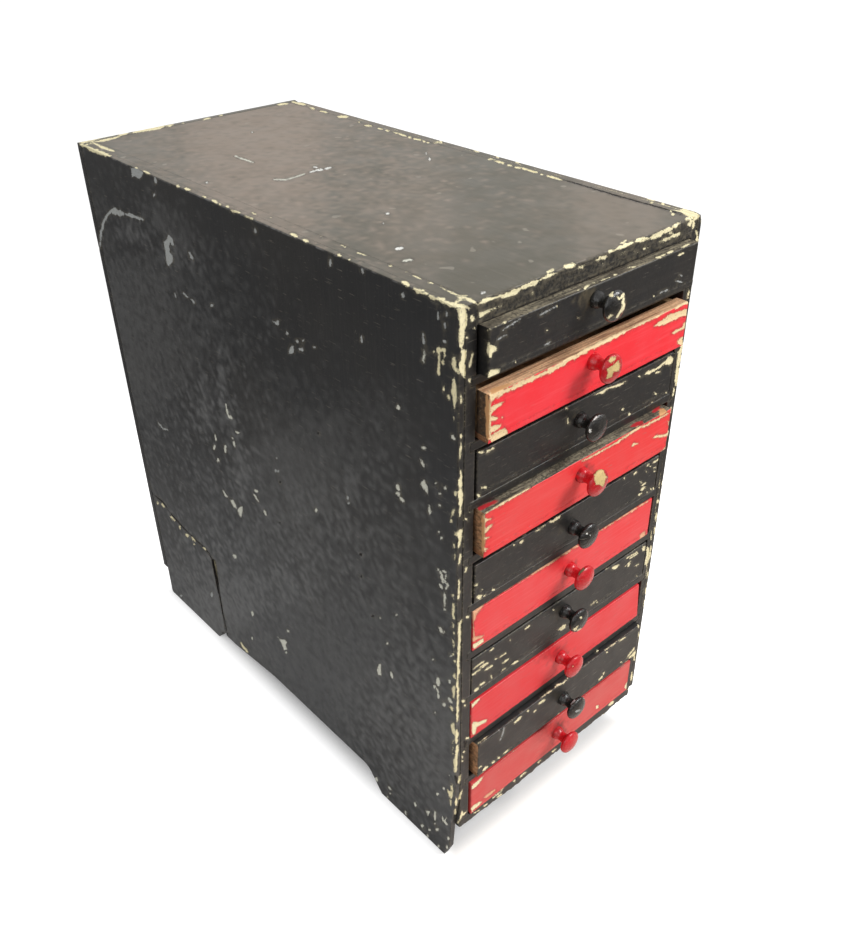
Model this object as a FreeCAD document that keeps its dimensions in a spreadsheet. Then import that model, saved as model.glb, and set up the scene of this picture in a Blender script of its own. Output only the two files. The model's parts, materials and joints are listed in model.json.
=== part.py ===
import FreeCAD, Part
import Sketcher

import math
import os
from types import SimpleNamespace

Vector = FreeCAD.Vector

# A tall narrow tabletop chest of ten shallow drawers.
# The case is laid out from its front left bottom corner: x to the right, y to the back, z up.
# The finished part is moved so that its origin is the middle of the footprint, on the floor.

# The carcass, in millimetres.
CASE = {
    "sheet_thick": 4.5,  # the two outer side sheets
    "lining_left": 8.0,  # the boards inside the sheets, which hold the dividers
    "lining_right": 4.5,
    "opening_wide": 183.5,  # clear width between the linings
    "case_deep": 423.0,  # front plane to the back panel
    "back_thick": 7.0,
    "back_drop": 7.9,  # how far the back panel hangs below the bottom board
    "board_rise": 39.4,  # floor to the underside of the bottom board
    "board_thick": 7.0,
    "divider_thick": 6.0,
    "top_thick": 13.0,
    "housing_left": 3.5,  # depth of the housings that take the dividers' ends
    "housing_right": 2.5,
    "housing_play": 0.1,
}

# The worn front edge of the left sheet and the outline of the feet.
FEET = {
    "edge_worn_high": 3.2,  # how far the worn front edge stands back, high up
    "edge_worn_low": 4.5,  # and low down
    "edge_worn_from": 40.0,  # below the top
    "edge_worn_to": 45.0,  # above the floor
    "toe_back": 6.5,
    "toe_high": 14.0,
    "toe_floor": 12.0,  # where the rounded toe meets the floor
    "toe_long": 86.0,  # where the front foot leaves the floor
    "toe_slope": 16.0,
    "arch_high": 19.5,
    "arch_round": 10.0,
    "arch_flat": 133.0,  # length of the level part of the arch
    "arch_fall": 65.0,  # length of its sloping part
    "arch_low": 12.0,  # its height there
    "heel_run": 15.3,  # from the cut in the left sheet back to where the rear foot meets the floor
    "heel_slope": 15.0,
    "broken_high": 46.0,  # the corner that is broken from the right front foot
    "broken_long": 30.0,
}

# The piece let into the left sheet at the rear foot, with an open crack in front of it.
PATCH = {
    "patch_from": 316.7,  # the cut in the sheet, at the arch
    "patch_lean": 3.3,  # how much further forward it is at the top
    "patch_high_front": 103.0,
    "patch_high_back": 123.0,
    "patch_short": 0.5,  # the piece ends this much before the back panel
    "crack_wide": 8.5,  # at the top
    "crack_fine": 0.4,  # at the foot
    "crack_from": 50.0,  # the crack opens above this height
}

# What all the drawers share.
DRAWER = {
    "rear_gap": 1.0,  # between a drawer pushed home and the back panel
    "front_thick": 9.5,
    "side_thick": 6.0,
    "rear_thick": 6.0,
    "panel_thick": 3.5,  # the bottom panel, which runs under the front
    "side_drop": 2.0,  # sides and rear stand this much lower than the front
    "run_gap": 0.4,  # between a drawer and the board it slides on
}

# The turned knob: distances from the drawer front along the axis, and radii.
KNOB = {
    "knob_reach": 16.8,
    "knob_crown_at": 15.0,
    "knob_crown_radius": 7.7,
    "knob_dome_at": 16.3,
    "knob_dome_radius": 4.0,
    "knob_rim_at": 13.0,
    "knob_rim_radius": 9.3,
    "knob_under_at": 11.2,
    "knob_under_radius": 8.0,
    "knob_cove_at": 9.4,
    "knob_cove_radius": 4.9,
    "knob_neck_at": 7.2,
    "knob_neck_radius": 3.9,
    "knob_collar_at": 4.4,
    "knob_collar_radius": 4.3,
    "knob_bead_at": 2.4,
    "knob_bead_radius": 6.0,
    "knob_base_radius": 6.4,
    "spigot_radius": 3.0,
    "spigot_long": 8.0,
    "spigot_fit": 0.1,
}

# The headed nails that hold the back panel.
NAIL = {
    "nail_radius": 0.8,
    "nail_long": 22.0,
    "nail_head_radius": 2.2,
    "nail_head_thick": 0.6,
    "nail_fit": 0.05,
    "nail_inset": 30.0,  # from the linings to the outer nails of the top and bottom rows
}

# The clear height of each drawer's opening, from the top down.
OPENINGS = {
    "opening_1": 28.7,
    "opening_2": 34.6,
    "opening_3": 34.1,
    "opening_4": 33.8,
    "opening_5": 32.3,
    "opening_6": 33.5,
    "opening_7": 33.8,
    "opening_8": 35.7,
    "opening_9": 33.6,
    "opening_10": 36.5,
}

# One line for each drawer, from the top down, as it stands in the case:
# how far its front stands out, the gaps at its left end, its right end and its top, how far
# its right end leans in at the top, the rounding of its upper edge, and how far its knob sits
# to the right of the front's middle and above it.
LINE = ("out", "gap_left", "gap_right", "gap_top", "lean", "ease", "knob_side", "knob_up")
DRAWERS = (
    (7.0, 2.1, 2.0, 0.4, 0.0, 1.0, -6.1, 5.3),
    (7.4, 2.8, 4.0, 4.1, 0.0, 2.6, -3.4, 5.6),
    (0.3, 1.8, 0.6, 2.2, 0.0, 1.2, -3.1, 2.1),
    (6.1, 3.0, 3.8, 1.2, 0.0, 2.4, -3.1, 4.5),
    (0.3, 1.7, 1.2, 2.8, 0.0, 1.2, 0.2, -2.0),
    (0.6, 1.0, 2.5, 0.6, 0.0, 1.6, 1.1, 0.5),
    (0.2, 1.0, 0.9, 2.0, 0.0, 1.2, -0.6, 3.3),
    (0.6, 0.9, 0.5, 1.8, 2.9, 1.2, -1.5, 0.7),
    (4.4, 4.3, 0.5, 0.7, 0.0, 1.2, -0.5, -0.8),
    (0.8, 2.3, 0.5, 3.0, 0.0, 1.2, 1.5, 0.0),
)

COUNT = len(DRAWERS)
NAILS_EVERY = 3  # a nail goes into each lining beside every third drawer
NAILS_ACROSS = 3  # nails in the top board and in the bottom board
TINY = 1e-6  # two places nearer than this are the same


class Size:
    """A length that knows both its formula in the sheet and its value in millimetres."""

    def __init__(self, text, mm):
        self.text = text
        self.mm = mm

    def __add__(self, other):
        other = as_size(other)
        return Size(f"({self.text} + {other.text})", self.mm + other.mm)

    def __sub__(self, other):
        other = as_size(other)
        return Size(f"({self.text} - {other.text})", self.mm - other.mm)

    def __mul__(self, other):
        other = as_size(other)
        return Size(f"({self.text} * {other.text})", self.mm * other.mm)

    def __truediv__(self, other):
        other = as_size(other)
        return Size(f"({self.text} / {other.text})", self.mm / other.mm)

    def __neg__(self):
        return Size(f"(-{self.text})", -self.mm)


def as_size(length):
    return length if isinstance(length, Size) else Size(str(length), length)


def largest(sizes):
    text = "; ".join(size.text for size in sizes)
    return Size(f"max({text})", max(size.mm for size in sizes))


doc = FreeCAD.newDocument("drawer_chest")
sheet = doc.addObject("Spreadsheet::Sheet", "sizes")


def write_sheet():
    """Writes every driving size to the sheet and returns them under their own names."""
    rows = {}
    for group in (CASE, FEET, PATCH, DRAWER, KNOB, NAIL, OPENINGS):
        rows.update(group)
    for number, line in enumerate(DRAWERS, start=1):
        for name, length in zip(LINE, line):
            rows[f"{name}_{number}"] = length
    for row, (name, length) in enumerate(rows.items(), start=1):
        sheet.set(f"A{row}", name)
        sheet.set(f"B{row}", str(length))
        sheet.setAlias(f"B{row}", name)
    doc.recompute()
    return SimpleNamespace(**{name: Size(f"sizes.{name}", length) for name, length in rows.items()})


S = write_sheet()


def of_drawer(name, number):
    return getattr(S, f"{name}_{number}")


def floor_levels():
    """The level that each drawer slides on, built up from the lowest."""
    levels = {COUNT: S.board_rise + S.board_thick}
    for number in range(COUNT - 1, 0, -1):
        levels[number] = levels[number + 1] + of_drawer("opening", number + 1) + S.divider_thick
    return levels


# Where things stand in the case, worked out from the sheet.
IN_LEFT = S.sheet_thick + S.lining_left
CASE_WIDE = IN_LEFT + S.opening_wide + S.lining_right + S.sheet_thick
IN_RIGHT = IN_LEFT + S.opening_wide
FLOOR = floor_levels()
TOP_UNDER = FLOOR[1] + S.opening_1
CASE_HIGH = TOP_UNDER + S.top_thick
DRAWER_LONG = S.case_deep - S.rear_gap
DEEPEST_OUT = largest([of_drawer("out", number) for number in range(1, COUNT + 1)]) + S.knob_reach

# From the case's corner to the middle of the whole footprint, knobs included.
SHIFT_X = CASE_WIDE / 2
SHIFT_Y = (S.case_deep + S.back_thick - DEEPEST_OUT) / 2


def tie(item, prop, length):
    item.setExpression(prop, as_size(length).text)


def place(item, x=0, y=0, z=0):
    """Puts an item at a place that is given in the case's own coordinates."""
    tie(item, "Placement.Base.x", as_size(x) - SHIFT_X)
    tie(item, "Placement.Base.y", as_size(y) - SHIFT_Y)
    tie(item, "Placement.Base.z", as_size(z))


def new_body(name):
    body = doc.addObject("PartDesign::Body", name)
    body.Label = name
    return body


def new_sketch(body, name, role):
    sketch = body.newObject("Sketcher::SketchObject", name)
    plane = next(item for item in body.Origin.OriginFeatures if item.Role == role)
    sketch.AttachmentSupport = (plane, "")
    sketch.MapMode = "FlatFace"
    return sketch


def hold(sketch, geometry, point, across, up):
    """Holds one point of a sketch at two sizes, measured from the sketch's origin."""
    for kind, length in (("DistanceX", across), ("DistanceY", up)):
        length = as_size(length)
        index = sketch.addConstraint(Sketcher.Constraint(kind, -1, 1, geometry, point, length.mm))
        if length.text.startswith(("sizes", "(", "max")):
            sketch.setExpression(f"Constraints[{index}]", length.text)


def arc_by(start, middle, end):
    """An anticlockwise arc through three points, and whether it runs from start to end."""
    curve = Part.Arc(start, middle, end).toShape().Curve
    turn = (middle - start).cross(end - middle).z
    first, last = (start, end) if turn > 0 else (end, start)
    angles = [math.atan2(p.y - curve.Center.y, p.x - curve.Center.x) for p in (first, last)]
    ring = Part.Circle(curve.Center, Vector(0, 0, 1), curve.Radius)
    return Part.ArcOfCircle(ring, angles[0], angles[1]), turn > 0


def outline(body, name, role, corners, through=None):
    """A closed sketch through corners. A side in through is an arc by way of the given point."""
    sketch = new_sketch(body, name, role)
    through = through or {}
    corners = [(as_size(across), as_size(up)) for across, up in corners]
    starts = []
    for number, (across, up) in enumerate(corners):
        next_across, next_up = corners[(number + 1) % len(corners)]
        start = Vector(across.mm, up.mm, 0)
        end = Vector(next_across.mm, next_up.mm, 0)
        if number in through:
            middle = Vector(through[number][0].mm, through[number][1].mm, 0)
            arc, forward = arc_by(start, middle, end)
            side = sketch.addGeometry(arc, False)
        else:
            side = sketch.addGeometry(Part.LineSegment(start, end), False)
            forward = True
        starts.append((side, 1 if forward else 2, 2 if forward else 1))
    for number, (side, first, last) in enumerate(starts):
        following, its_first, _ = starts[(number + 1) % len(starts)]
        sketch.addConstraint(Sketcher.Constraint("Coincident", side, last, following, its_first))
        hold(sketch, side, first, *corners[number])
    for number, (across, up) in through.items():
        dot = sketch.addGeometry(Part.Point(Vector(across.mm, up.mm, 0)), True)
        hold(sketch, dot, 1, across, up)
        sketch.addConstraint(Sketcher.Constraint("PointOnObject", dot, 1, starts[number][0]))
    return sketch


def circles(body, name, role, centres, radius):
    """A sketch of equal circles."""
    sketch = new_sketch(body, name, role)
    for across, up in centres:
        middle = Vector(across.mm, up.mm, 0)
        ring = sketch.addGeometry(Part.Circle(middle, Vector(0, 0, 1), radius.mm), False)
        hold(sketch, ring, 3, across, up)
        index = sketch.addConstraint(Sketcher.Constraint("Radius", ring, radius.mm))
        sketch.setExpression(f"Constraints[{index}]", radius.text)
    return sketch


def pad(body, name, sketch, length, backwards=False):
    """Backwards on the XZ plane is towards the back of the chest."""
    feature = body.newObject("PartDesign::Pad", name)
    feature.Profile = sketch
    feature.Reversed = backwards
    tie(feature, "Length", length)
    doc.recompute()
    return feature


def pocket(body, name, sketch, depth, at=None):
    """Cuts from the front towards the back, or from the depth at towards the front."""
    before = body.Shape.Volume
    feature = body.newObject("PartDesign::Pocket", name)
    feature.Profile = sketch
    feature.Type = "Length"
    tie(feature, "Length", depth)
    if at is not None:
        tie(sketch, "AttachmentOffset.Base.z", -at)
        feature.Reversed = True
    doc.recompute()
    if not body.Shape.Volume < before:
        raise ValueError(f"{name} cuts nothing")
    return feature


def round_edges(body, name, slab, radius, y, z):
    """Rounds the edges of a slab that run along x at one y and z of the body's own."""
    picked = []
    for number, edge in enumerate(slab.Shape.Edges, start=1):
        ends = [vertex.Point for vertex in edge.Vertexes]
        if all(abs(end.y - y.mm) < TINY and abs(end.z - z.mm) < TINY for end in ends):
            picked.append(f"Edge{number}")
    feature = body.newObject("PartDesign::Fillet", name)
    feature.Base = (slab, picked)
    tie(feature, "Radius", radius)
    doc.recompute()


def board(name, size, corner):
    """A plain board, from its sizes and its front left bottom corner."""
    item = doc.addObject("Part::Box", name)
    item.Label = name
    for prop, length in zip(("Length", "Width", "Height"), size):
        tie(item, prop, length)
    place(item, *corner)
    return item


def panel_body(name, wide, high, deep, corner):
    """A board that other features are cut in, drawn from the front."""
    body = new_body(name)
    corners = [(0, 0), (wide, 0), (wide, high), (0, high)]
    pad(body, f"{name}_board", outline(body, f"{name}_face", "XZ_Plane", corners), deep, True)
    place(body, *corner)
    return body


def nail_rows():
    """Where the nails go, by what they are driven into: x and z in the case."""
    left = S.sheet_thick + S.lining_left / 2
    right = CASE_WIDE - S.sheet_thick - S.lining_right / 2
    beside = range(1, COUNT + 1, NAILS_EVERY)
    heights = [FLOOR[number] + of_drawer("opening", number) / 2 for number in beside]
    first = IN_LEFT + S.nail_inset
    step = (S.opening_wide - S.nail_inset * 2) / (NAILS_ACROSS - 1)
    top = TOP_UNDER + S.top_thick / 2
    bottom = S.board_rise + S.board_thick / 2
    return {
        "left": [(left, height) for height in heights],
        "right": [(right, height) for height in heights],
        "top": [(first + step * number, top) for number in range(NAILS_ACROSS)],
        "bottom": [(first + step * number, bottom) for number in range(NAILS_ACROSS)],
    }


def nail_holes(body, name, row, x, z):
    """Drills a board from behind for one row of nails. Its corner is at x and z."""
    centres = [(across - x, up - z) for across, up in nail_rows()[row]]
    sketch = circles(body, f"{name}_nail_circles", "XZ_Plane", centres, S.nail_radius + S.nail_fit)
    depth = S.nail_long - S.back_thick + S.nail_fit
    pocket(body, f"{name}_nail_holes", sketch, depth, at=S.case_deep)


ARCH_START = (S.toe_long + S.toe_slope, S.arch_high)
ARCH_FALLS = (ARCH_START[0] + S.arch_flat, S.arch_high)
ARCH_LOW = (ARCH_FALLS[0] + S.arch_fall, S.arch_low)
HEEL = (S.patch_from + S.heel_run, 0)


def make_left_sheet():
    name = "left_sheet"
    body = new_body(name)
    corners = [
        (0, CASE_HIGH),
        (S.edge_worn_high, CASE_HIGH - S.edge_worn_from),
        (S.edge_worn_low, S.edge_worn_to),
        (S.toe_back, S.toe_high),
        (S.toe_floor, 0),
        (S.toe_long, 0),
        ARCH_START,
        ARCH_FALLS,
        ARCH_LOW,
        (S.patch_from, S.arch_low),
        (S.patch_from - S.patch_lean, S.patch_high_front),
        (S.case_deep, S.patch_high_back),
        (S.case_deep, CASE_HIGH),
    ]
    sketch = outline(body, f"{name}_outline", "YZ_Plane", corners)
    slab = pad(body, f"{name}_slab", sketch, S.sheet_thick)
    round_edges(body, f"{name}_arch_round", slab, S.arch_round, *ARCH_START)
    place(body)
    return body


def make_foot_patch():
    name = "foot_patch"
    body = new_body(name)
    back = S.case_deep - S.patch_short
    top_front = S.patch_from - S.patch_lean + S.crack_wide
    run = S.case_deep - S.patch_from + S.patch_lean
    slope = (S.patch_high_back - S.patch_high_front) / run
    foot_front = S.patch_from + S.crack_fine
    corners = [
        HEEL,
        (back, 0),
        (back, S.patch_high_back - S.patch_short * slope),
        (top_front, S.patch_high_front + S.crack_wide * slope),
        (foot_front, S.crack_from),
        (foot_front, S.heel_slope),
    ]
    sketch = outline(body, f"{name}_outline", "YZ_Plane", corners)
    pad(body, f"{name}_slab", sketch, S.sheet_thick)
    place(body)
    return body


def make_right_sheet():
    name = "right_sheet"
    body = new_body(name)
    corners = [
        (0, CASE_HIGH),
        (0, S.broken_high),
        (S.broken_long, 0),
        (S.toe_long, 0),
        ARCH_START,
        ARCH_FALLS,
        ARCH_LOW,
        (S.patch_from, S.arch_low),
        HEEL,
        (S.case_deep, 0),
        (S.case_deep, CASE_HIGH),
    ]
    sketch = outline(body, f"{name}_outline", "YZ_Plane", corners)
    slab = pad(body, f"{name}_slab", sketch, S.sheet_thick)
    round_edges(body, f"{name}_arch_round", slab, S.arch_round, *ARCH_START)
    place(body, x=CASE_WIDE - S.sheet_thick)
    return body


def lining_corners(thick, housing, housing_on_right):
    """The front face of a lining, with a housing for each divider, from its lower end."""
    base = FLOOR[COUNT]
    inner = [(thick, 0)]
    for number in range(COUNT - 1, 0, -1):
        low = FLOOR[number] - S.divider_thick - base
        high = FLOOR[number] + S.housing_play - base
        bed = thick - housing
        inner += [(thick, low), (bed, low), (bed, high), (thick, high)]
    height = CASE_HIGH - base
    inner.append((thick, height))
    corners = [(0, 0)] + inner + [(0, height)]
    if housing_on_right:
        return corners
    return [(thick - across, up) for across, up in reversed(corners)]


def make_lining(name, thick, housing, x, on_left):
    body = new_body(name)
    corners = lining_corners(thick, housing, on_left)
    sketch = outline(body, f"{name}_face", "XZ_Plane", corners)
    pad(body, f"{name}_board", sketch, S.case_deep, True)
    nail_holes(body, name, "left" if on_left else "right", x, FLOOR[COUNT])
    place(body, x=x, z=FLOOR[COUNT])
    return body


def make_dividers():
    """One for each drawer but the lowest, which slides on the bottom board."""
    dividers = []
    left = IN_LEFT - S.housing_left + S.housing_play
    long = S.opening_wide + S.housing_left + S.housing_right - S.housing_play * 2
    for number in range(1, COUNT):
        size = (long, S.case_deep, S.divider_thick)
        corner = (left, 0, FLOOR[number] - S.divider_thick)
        dividers.append(board(f"divider_{number}", size, corner))
    return dividers


def make_top_board():
    name = "top_board"
    body = panel_body(name, S.opening_wide, S.top_thick, S.case_deep, (IN_LEFT, 0, TOP_UNDER))
    nail_holes(body, name, "top", IN_LEFT, TOP_UNDER)
    return body


def make_bottom_board():
    name = "bottom_board"
    wide = CASE_WIDE - S.sheet_thick * 2
    corner = (S.sheet_thick, 0, S.board_rise)
    body = panel_body(name, wide, S.board_thick, S.case_deep, corner)
    nail_holes(body, name, "bottom", S.sheet_thick, S.board_rise)
    return body


def make_back_panel():
    name = "back_panel"
    foot = S.board_rise - S.back_drop
    corner = (0, S.case_deep, foot)
    body = panel_body(name, CASE_WIDE, CASE_HIGH - foot, S.back_thick, corner)
    centres = [(x, z - foot) for row in nail_rows().values() for x, z in row]
    shanks = circles(body, f"{name}_shank_circles", "XZ_Plane", centres, S.nail_radius + S.nail_fit)
    pocket(body, f"{name}_shank_holes", shanks, S.back_thick, at=S.back_thick)
    heads = circles(body, f"{name}_head_circles", "XZ_Plane", centres, S.nail_head_radius + S.nail_fit)
    pocket(body, f"{name}_head_recesses", heads, S.nail_head_thick, at=S.back_thick)
    return body


def cylinder(name, radius, length, x, y, z):
    """A round bar that lies along y."""
    bar = doc.addObject("Part::Cylinder", name)
    tie(bar, "Radius", radius)
    tie(bar, "Height", length)
    bar.Placement = FreeCAD.Placement(Vector(), FreeCAD.Rotation(Vector(1, 0, 0), -90))
    place(bar, x, y, z)
    return bar


def make_back_nails():
    """Headed nails driven from behind, their heads flush with the back panel."""
    nails = []
    back = S.case_deep + S.back_thick
    places = [spot for row in nail_rows().values() for spot in row]
    for number, (x, z) in enumerate(places, start=1):
        head_face = back - S.nail_head_thick
        head = cylinder(f"nail_head_{number}", S.nail_head_radius, S.nail_head_thick, x, head_face, z)
        shank_from = back - S.nail_long
        shank_long = S.nail_long - S.nail_head_thick
        shank = cylinder(f"nail_shank_{number}", S.nail_radius, shank_long, x, shank_from, z)
        nail = doc.addObject("Part::Fuse", f"nail_{number}")
        nail.Base = head
        nail.Tool = shank
        nails.append(nail)
    group = doc.addObject("Part::Compound", "back_nails")
    group.Label = "back_nails"
    group.Links = nails
    return group


def drawer_frame(number):
    """The sizes and the corner that the pieces of one drawer share."""
    left = IN_LEFT + of_drawer("gap_left", number)
    wide = IN_RIGHT - of_drawer("gap_right", number) - left
    face = -of_drawer("out", number)
    foot = FLOOR[number] + S.run_gap
    seat = foot + S.panel_thick
    high = FLOOR[number] + of_drawer("opening", number) - of_drawer("gap_top", number) - seat
    return SimpleNamespace(left=left, wide=wide, face=face, foot=foot, seat=seat, high=high)


def knob_centre(number, frame):
    """Where the knob's axis meets the front, from the front's lower left corner.
    Its offsets count from the middle of the whole face, the bottom panel's edge included."""
    across = frame.wide / 2 + of_drawer("knob_side", number)
    up = (frame.high - S.panel_thick) / 2 + of_drawer("knob_up", number)
    return across, up


def make_front(number):
    name = f"drawer_{number}_front"
    frame = drawer_frame(number)
    body = new_body(name)
    corners = [
        (0, 0),
        (frame.wide, 0),
        (frame.wide - of_drawer("lean", number), frame.high),
        (0, frame.high),
    ]
    sketch = outline(body, f"{name}_face", "XZ_Plane", corners)
    slab = pad(body, f"{name}_board", sketch, S.front_thick, True)
    round_edges(body, f"{name}_ease", slab, of_drawer("ease", number), as_size(0), frame.high)
    centre = [knob_centre(number, frame)]
    hole = circles(body, f"{name}_hole_circle", "XZ_Plane", centre, S.spigot_radius + S.spigot_fit)
    pocket(body, f"{name}_hole", hole, S.spigot_long + S.spigot_fit)
    place(body, frame.left, frame.face, frame.seat)
    return body


def make_bottom(number):
    """The panel under the drawer, its front edge in line with the face."""
    frame = drawer_frame(number)
    size = (frame.wide, DRAWER_LONG, S.panel_thick)
    return board(f"drawer_{number}_bottom", size, (frame.left, frame.face, frame.foot))


def make_box(number):
    """The two sides and the rear, which stands between them."""
    name = f"drawer_{number}_box"
    frame = drawer_frame(number)
    wide = frame.wide - of_drawer("lean", number)
    high = frame.high - S.side_drop
    side = (S.side_thick, DRAWER_LONG - S.front_thick, high)
    behind = frame.face + S.front_thick
    right = frame.left + wide - S.side_thick
    rear = (wide - S.side_thick * 2, S.rear_thick, high)
    rear_at = frame.face + DRAWER_LONG - S.rear_thick
    group = doc.addObject("Part::Compound", name)
    group.Label = name
    group.Links = [
        board(f"drawer_{number}_left_side", side, (frame.left, behind, frame.seat)),
        board(f"drawer_{number}_right_side", side, (right, behind, frame.seat)),
        board(f"drawer_{number}_rear", rear, (frame.left + S.side_thick, rear_at, frame.seat)),
    ]
    return group


def make_knob(number):
    """A turned knob with its spigot, drawn along x and turned to point to the front."""
    name = f"drawer_{number}_knob"
    frame = drawer_frame(number)
    body = new_body(name)
    corners = [
        (-S.spigot_long, 0),
        (S.knob_reach, 0),
        (S.knob_crown_at, S.knob_crown_radius),
        (S.knob_under_at, S.knob_under_radius),
        (S.knob_neck_at, S.knob_neck_radius),
        (S.knob_collar_at, S.knob_collar_radius),
        (0, S.knob_base_radius),
        (0, S.spigot_radius),
        (-S.spigot_long, S.spigot_radius),
    ]
    arcs = {
        1: (S.knob_dome_at, S.knob_dome_radius),
        2: (S.knob_rim_at, S.knob_rim_radius),
        3: (S.knob_cove_at, S.knob_cove_radius),
        5: (S.knob_bead_at, S.knob_bead_radius),
    }
    sketch = outline(body, f"{name}_profile", "XY_Plane", corners, arcs)
    turned = body.newObject("PartDesign::Revolution", f"{name}_turned")
    turned.Profile = sketch
    turned.ReferenceAxis = (sketch, ["H_Axis"])
    turned.Angle = 360
    across, up = knob_centre(number, frame)
    body.Placement = FreeCAD.Placement(Vector(), FreeCAD.Rotation(Vector(0, 0, 1), -90))
    place(body, frame.left + across, frame.face, frame.seat + up)
    doc.recompute()
    return body


def make_parts():
    parts = [
        make_left_sheet(),
        make_right_sheet(),
        make_foot_patch(),
        make_lining("left_lining", S.lining_left, S.housing_left, S.sheet_thick, True),
        make_lining("right_lining", S.lining_right, S.housing_right, IN_RIGHT, False),
        make_top_board(),
        make_bottom_board(),
        make_back_panel(),
        make_back_nails(),
    ]
    parts += make_dividers()
    for number in range(1, COUNT + 1):
        parts += [make_front(number), make_bottom(number), make_box(number), make_knob(number)]
    return parts


def check(parts):
    """Stops before anything is written if a feature failed or a shape is not sound."""
    doc.recompute()
    for item in doc.Objects:
        if "Invalid" in item.State or "Error" in item.State:
            raise ValueError(f"{item.Name} failed: {item.State}")
    for part in parts:
        if part.Shape.isNull() or not part.Shape.isValid() or not part.Shape.Solids:
            raise ValueError(f"{part.Label} has no sound shape")


def export(parts):
    os.makedirs("parts", exist_ok=True)
    for part in parts:
        part.Shape.exportStep(f"parts/{part.Label}.step")


all_parts = make_parts()
check(all_parts)
export(all_parts)
print(len(all_parts), "parts,", sum(len(part.Shape.Solids) for part in all_parts), "solids")
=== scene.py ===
"""A worn tabletop chest of ten shallow drawers, painted black and red, dressed around its fixed frame."""

import json
import math

import bmesh
import bpy
import numpy as np
from mathutils import Matrix, Vector
from mathutils.geometry import delaunay_2d_cdt


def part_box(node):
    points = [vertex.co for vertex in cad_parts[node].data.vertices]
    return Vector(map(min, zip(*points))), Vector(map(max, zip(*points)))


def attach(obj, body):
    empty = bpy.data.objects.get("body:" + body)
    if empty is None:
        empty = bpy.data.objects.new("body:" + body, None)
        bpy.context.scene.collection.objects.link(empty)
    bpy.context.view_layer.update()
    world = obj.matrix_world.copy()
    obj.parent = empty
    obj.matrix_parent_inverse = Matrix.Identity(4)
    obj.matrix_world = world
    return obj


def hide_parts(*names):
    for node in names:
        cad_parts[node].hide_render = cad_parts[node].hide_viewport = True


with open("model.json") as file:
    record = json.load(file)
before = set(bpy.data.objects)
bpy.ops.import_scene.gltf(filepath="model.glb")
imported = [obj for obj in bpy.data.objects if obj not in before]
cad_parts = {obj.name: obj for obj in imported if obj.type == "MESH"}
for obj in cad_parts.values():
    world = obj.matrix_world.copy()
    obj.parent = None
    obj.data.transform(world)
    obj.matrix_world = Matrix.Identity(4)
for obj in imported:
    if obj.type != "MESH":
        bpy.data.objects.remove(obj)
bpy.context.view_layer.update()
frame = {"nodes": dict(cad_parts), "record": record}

# Lengths are in millimetres, counted from the case's front left bottom corner, as a joiner would:
# x to the right, y to the back, z up. Blender gets metres in the row's frame.
MM = 0.001
CORNER = np.array(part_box("left_sheet")[0])
X, Y, Z = 0, 1, 2
COUNT = 10
RED = [number for number in range(1, COUNT + 1) if number % 2 == 0]
CASE_WIDE, SHEET_DEEP, CASE_HIGH = 205, 423, 450

# The photograph's camera: its focal length in pixels, its place in metres and its direction.
PHOTO_WIDE, PHOTO_HIGH = 849, 926
SENSOR = 36.0
FOCAL_PIXELS = 956.928
CAMERA_AT = Vector((-0.40409, -0.51790, 0.64386))
CAMERA_TURN = (2.03146, -0.78380, 0.40781)  # axis times angle, from the world to the lens


def lens_turn():
    """Rows: the photograph's right, its down and the way it looks, in the world."""
    turn = Vector(CAMERA_TURN)
    return Matrix.Rotation(turn.length, 3, turn.normalized())


def add_camera():
    data = bpy.data.cameras.new("photo_camera")
    data.sensor_width = SENSOR
    data.lens = FOCAL_PIXELS / PHOTO_HIGH * SENSOR
    data.clip_start = 0.01
    camera = bpy.data.objects.new("photo_camera", data)
    turn = lens_turn().transposed() @ Matrix.Diagonal((1, -1, -1))
    camera.matrix_world = Matrix.Translation(CAMERA_AT) @ turn.to_4x4()
    bpy.context.scene.collection.objects.link(camera)
    bpy.context.scene.camera = camera


def seen_on_box(pixel, low, high):
    """Where a pixel meets a box, in case millimetres. The lens sees its left, front and top."""
    u, v = pixel
    ray = Vector(((u - PHOTO_WIDE / 2) / FOCAL_PIXELS, (v - PHOTO_HIGH / 2) / FOCAL_PIXELS, 1))
    ray = np.array(lens_turn().transposed() @ ray)
    start = to_case(np.array(CAMERA_AT))
    planes = ((X, low[X]), (Y, low[Y]), (Z, high[Z]))
    entry = max((level - start[axis]) / ray[axis] for axis, level in planes)
    return np.clip(start + ray * entry, low, high)


def photo_pixels(points):
    """The pixels where the photograph shows points given in case millimetres."""
    rays = (to_frame(points) - np.array(CAMERA_AT)) @ np.array(lens_turn()).T
    return rays[:, :2] / rays[:, 2:] * FOCAL_PIXELS + (PHOTO_WIDE / 2, PHOTO_HIGH / 2)


def to_case(metres):
    return (metres - CORNER) / MM


def to_frame(mm):
    return mm * MM + CORNER


SEED_STEP = 7.31  # how far another seed moves the noise, in lumps
SCATTER = (73856093, 19349663, 83492791, 2654435761, 1274126177)  # large odd numbers


def noise(points, size, seed=0):
    """Smooth random values from -1 to 1, the same on each run. Size is the width of a lump."""
    place = points / size + seed * SEED_STEP
    cell = np.floor(place).astype(np.int64)
    part = place - cell
    part = part * part * (3 - 2 * part)
    total = np.zeros(len(points))
    for corner in range(8):
        step = np.array([corner & 1, corner >> 1 & 1, corner >> 2 & 1])
        at = (cell + step) * SCATTER[:3]
        key = at[:, X] ^ at[:, Y] ^ at[:, Z] ^ (seed * SCATTER[3])
        key = (key ^ (key >> 13)) * SCATTER[4] & 0x7FFFFFFF
        key = (key ^ (key >> 16)) & 0xFFFF
        weight = np.prod(np.where(step, part, 1 - part), axis=1)
        total += weight * key / 0xFFFF
    return total * 2 - 1


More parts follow.
